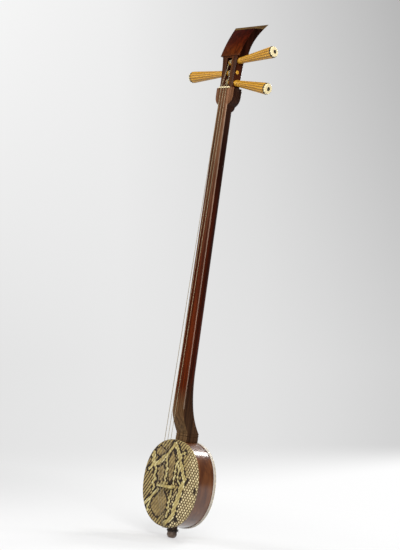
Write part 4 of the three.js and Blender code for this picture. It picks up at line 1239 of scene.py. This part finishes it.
def frayed(number, reach, lift, swing):
    """Points of a strand that swings out of the knot, lifts or drops, and curls."""
    outwards = Vector((math.cos(swing), math.sin(swing), 0))
    points = []
    for share in STRAND_PLACES:
        height = lift * share * share + CURL_MM * math.sin(CURL_ANGLE * share + number)
        points.append(KNOT_MIDDLE + (outwards * reach * share + Vector((0, 0, height))) * MM)
    return points


dice = np.random.default_rng(5)
for number in range(STRANDS):
    reach = dice.uniform(*STRAND_REACH_MM)
    lift = dice.uniform(*STRAND_LIFT_MM)
    swing = dice.uniform(*STRAND_SWING)
    threads.append(thread(f"strand_{number}", frayed(number, reach, lift, swing), STRAND_CORD))
bpy.ops.object.select_all(action="DESELECT")
for piece in threads:
    piece.select_set(True)
bpy.context.view_layer.objects.active = threads[0]
bpy.ops.object.convert(target="MESH")
bpy.ops.object.join()
tail_knot = bpy.context.object
bpy.ops.object.shade_smooth_by_angle(angle=KNOT_SMOOTH_ANGLE)
tail_knot.data.materials.clear()
tail_knot.data.materials.append(tail_cord)
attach(tail_knot, "instrument")
print(tail_knot.name, "faces:", len(tail_knot.data.polygons))

# %% [markdown]
# ## The colours of the studio
# The instrument stands on a seamless pale sweep. The floor fades into the backdrop with
# distance, and the backdrop is lighter on the left. A curved sheet under lamps would do it too,
# but it would throw light on the instrument and change with every lamp. So the sweep is a plain
# colour for each direction from one fixed point, the place that the picture was taken from. It
# is the same on floor and sky, and it stays as it is when the camera moves.

# %% Colours of the sweep
# From left to right: at the top, just over the floor, and on the floor.
SWEEP_TOP = [
    (0.0, "#f6f6f6"), (0.3, "#efefef"), (0.65, "#d8d8d8"), (0.82, "#c8c8c8"), (1.0, "#b6b6b6"),
]
SWEEP_LOW = [
    (0.0, "#e4e4e4"), (0.3, "#e7e7e7"), (0.65, "#e2e2e2"), (0.82, "#dcdcdc"), (1.0, "#d3d3d3"),
]
SWEEP_FLOOR = [(0.0, "#fafafa"), (0.5, "#fdfdfd"), (1.0, "#ffffff")]
# All of these are sines of angles from the middle of the picture, sideways or upwards.
SIDE = 0.1342
WALL_LOW, WALL_TOP = -0.06, 0.183
FLOOR_LINE = -0.112            # above it there is no more of the floor's colour
FLOOR_FULL = (-0.17, -0.13)    # below it there is no other: on the left the sweep curves gently


def sweep_colour(tree, direction):
    """The colour of the sweep in a direction from the fixed point."""
    def along(axis, low, high, smooth="LINEAR"):
        share = add(tree, "ShaderNodeVectorMath", {0: direction, 1: axis}, operation="DOT_PRODUCT")
        return add(tree, "ShaderNodeMapRange", {
            "Value": share.outputs["Value"], "From Min": low, "From Max": high,
        }, interpolation_type=smooth).outputs[0]

    side = along(picture_right, -SIDE, SIDE)
    floor_full = add(tree, "ShaderNodeMapRange", {
        "Value": side, "To Min": FLOOR_FULL[0], "To Max": FLOOR_FULL[1],
    }).outputs[0]
    top, low, ground = (
        add(tree, "ShaderNodeValToRGB", {0: side}, stops).outputs[0]
        for stops in (SWEEP_TOP, SWEEP_LOW, SWEEP_FLOOR)
    )
    wall = add(tree, "ShaderNodeMixRGB", {
        "Fac": along(picture_up, WALL_LOW, WALL_TOP), "Color1": low, "Color2": top,
    })
    return add(tree, "ShaderNodeMixRGB", {
        "Fac": along(picture_up, floor_full, FLOOR_LINE, "SMOOTHSTEP"),
        "Color1": ground, "Color2": wall.outputs[0],
    }).outputs[0]


print("colours across the sweep:", len(SWEEP_TOP))

# %% [markdown]
# ## The floor
# Each kind of light ray finds another floor. The camera's rays find the sweep's plain colour,
# and near the instrument a matt floor that keeps its soft shadow. Glossy rays find the plain
# colour, so the lacquer shows a pale sweep. All other rays find a grey floor, which throws a
# little light up on to the instrument.

# %% Floor
FLOOR_RADIUS = 30
FLOOR_CORNERS = 128
SHADOW_SHARE = 0.6
SHADOW_FADES_FROM, SHADOW_REACH = 0.3, 1.5   # in metres from the instrument
# The lamps light the floor by a third more than white, and the matt share is darker for that.
MATT_DIMMING = "#dfdfdf"
BOUNCE = "#b8b8b8"                           # what the floor throws back on to the instrument

bpy.ops.object.select_all(action="DESELECT")
bpy.ops.mesh.primitive_circle_add(
    vertices=FLOOR_CORNERS, radius=FLOOR_RADIUS, fill_type="NGON",
)
floor = bpy.context.object
floor.name = "floor"
sweep = bpy.data.materials.new("seamless_sweep")
sweep.use_nodes = True
tree = sweep.node_tree
tree.nodes.clear()
place = add(tree, "ShaderNodeTexCoord").outputs["Object"]
eye = add(tree, "ShaderNodeVectorMath", {0: place, 1: camera.location}, operation="SUBTRACT")
direction = add(tree, "ShaderNodeVectorMath", {0: eye.outputs[0]}, operation="NORMALIZE")
ground = sweep_colour(tree, direction.outputs[0])
dimmed = add(tree, "ShaderNodeMixRGB", {
    "Fac": 1.0, "Color1": ground, "Color2": MATT_DIMMING,
}, blend_type="MULTIPLY")
matt = add(tree, "ShaderNodeBsdfDiffuse", {"Color": dimmed.outputs[0]})
plain = add(tree, "ShaderNodeEmission", {"Color": ground})
reach = add(tree, "ShaderNodeVectorMath", {0: place}, operation="LENGTH").outputs["Value"]
share = add(tree, "ShaderNodeMapRange", {
    "Value": reach, "From Min": SHADOW_FADES_FROM, "From Max": SHADOW_REACH,
    "To Min": SHADOW_SHARE, "To Max": 0,
}, interpolation_type="SMOOTHSTEP")
both = add(tree, "ShaderNodeMixShader", {
    0: share.outputs[0], 1: plain.outputs[0], 2: matt.outputs[0],
})
path = add(tree, "ShaderNodeLightPath")
bounce = add(tree, "ShaderNodeBsdfDiffuse", {"Color": BOUNCE})
unseen = add(tree, "ShaderNodeMixShader", {
    0: path.outputs["Is Glossy Ray"], 1: bounce.outputs[0], 2: plain.outputs[0],
})
shown = add(tree, "ShaderNodeMixShader", {
    0: path.outputs["Is Camera Ray"], 1: unseen.outputs[0], 2: both.outputs[0],
})
add(tree, "ShaderNodeOutputMaterial", {"Surface": shown.outputs[0]})
floor.data.materials.append(sweep)
print("floor radius in m:", FLOOR_RADIUS)

# %% [markdown]
# ## The room
# The camera sees the backdrop's plain colours. All other rays find a dim room, which is bright
# only near the horizon behind on the left. That puts a soft sheen on the left of round things
# and leaves the dark wood dark, which an evenly white room would turn grey.

# %% Room
ROOM_BRIGHT, ROOM_DARK = 0.75, 0.12
BEHIND_LEFT = (-0.7, 0.7, 0)
LEFT_STARTS, LEFT_FULL = 0.1, 0.8      # shares of a direction that point behind and left
HIGH_NONE, LOW_FULL = 0.75, 0.35       # and upwards
world = bpy.data.worlds.new("studio")
bpy.context.scene.world = world
world.use_nodes = True
tree = world.node_tree
tree.nodes.clear()
outwards = add(tree, "ShaderNodeTexCoord").outputs["Generated"]
backdrop = add(tree, "ShaderNodeBackground", {"Color": sweep_colour(tree, outwards)})
upwards = add(tree, "ShaderNodeSeparateXYZ", {0: outwards}).outputs["Z"]
low_down = add(tree, "ShaderNodeMapRange", {
    "Value": upwards, "From Min": HIGH_NONE, "From Max": LOW_FULL,
}, interpolation_type="SMOOTHSTEP")
leftwards = add(tree, "ShaderNodeVectorMath", {
    0: outwards, 1: BEHIND_LEFT,
}, operation="DOT_PRODUCT")
to_left = add(tree, "ShaderNodeMapRange", {
    "Value": leftwards.outputs["Value"], "From Min": LEFT_STARTS, "From Max": LEFT_FULL,
}, interpolation_type="SMOOTHSTEP")
lit = add(tree, "ShaderNodeMath", {
    0: low_down.outputs[0], 1: to_left.outputs[0],
}, operation="MULTIPLY")
strength = add(tree, "ShaderNodeMapRange", {
    "Value": lit.outputs[0], "To Min": ROOM_DARK, "To Max": ROOM_BRIGHT,
})
room = add(tree, "ShaderNodeBackground", {"Color": "#ffffff", "Strength": strength.outputs[0]})
path = add(tree, "ShaderNodeLightPath")
sky = add(tree, "ShaderNodeMixShader", {
    0: path.outputs["Is Camera Ray"], 1: room.outputs[0], 2: backdrop.outputs[0],
})
add(tree, "ShaderNodeOutputWorld", {"Surface": sky.outputs[0]})
print("the room's strength:", ROOM_DARK, "to", ROOM_BRIGHT)

# %% [markdown]
# ## Lamps
# Bare lamps would give hard shadows and sharp glints, so all are soft boxes. The strongest
# stands beside the camera and lights the instrument's right side, with a weaker one to the left
# of the front and another overhead. Two stand behind: the smallest puts the bright streak on
# the drum's shoulder, and the other throws the shadow on the floor towards the camera.

# %% Soft boxes
MID_HEIGHT = Vector((0, 0, 0.45))
LAMPS = [   # name, place, width and height in metres, and watts
    ("main_box", (-1.0, -2.4, 1.5), 1.4, 1.4, 35),
    ("side_box", (2.1, -1.7, 1.6), 1.4, 1.4, 85),
    ("streak_box", (0.0, 2.1, 2.35), 0.45, 0.4, 16),
    ("back_box", (-0.9, 2.7, 1.7), 0.6, 0.5, 45),
    ("top_box", (0.5, 0.2, 3.0), 1.6, 1.6, 25),
]
for name, place, width, height, watts in LAMPS:
    lamp = bpy.data.lights.new(name, "AREA")
    lamp.shape = "RECTANGLE"
    lamp.size, lamp.size_y, lamp.energy = width, height, watts
    box = bpy.data.objects.new(name, lamp)
    bpy.context.scene.collection.objects.link(box)
    towards = MID_HEIGHT - Vector(place)
    turned = towards.to_track_quat("-Z", "Y").to_matrix().to_4x4()
    box.matrix_world = Matrix.Translation(place) @ turned
    box.visible_camera = False
bpy.context.scene.view_settings.view_transform = "Standard"

# %% [markdown]
# ## Up to date
# The view layer is updated, so that every piece stands where it was put.

# %% Update the view layer
bpy.context.view_layer.update()
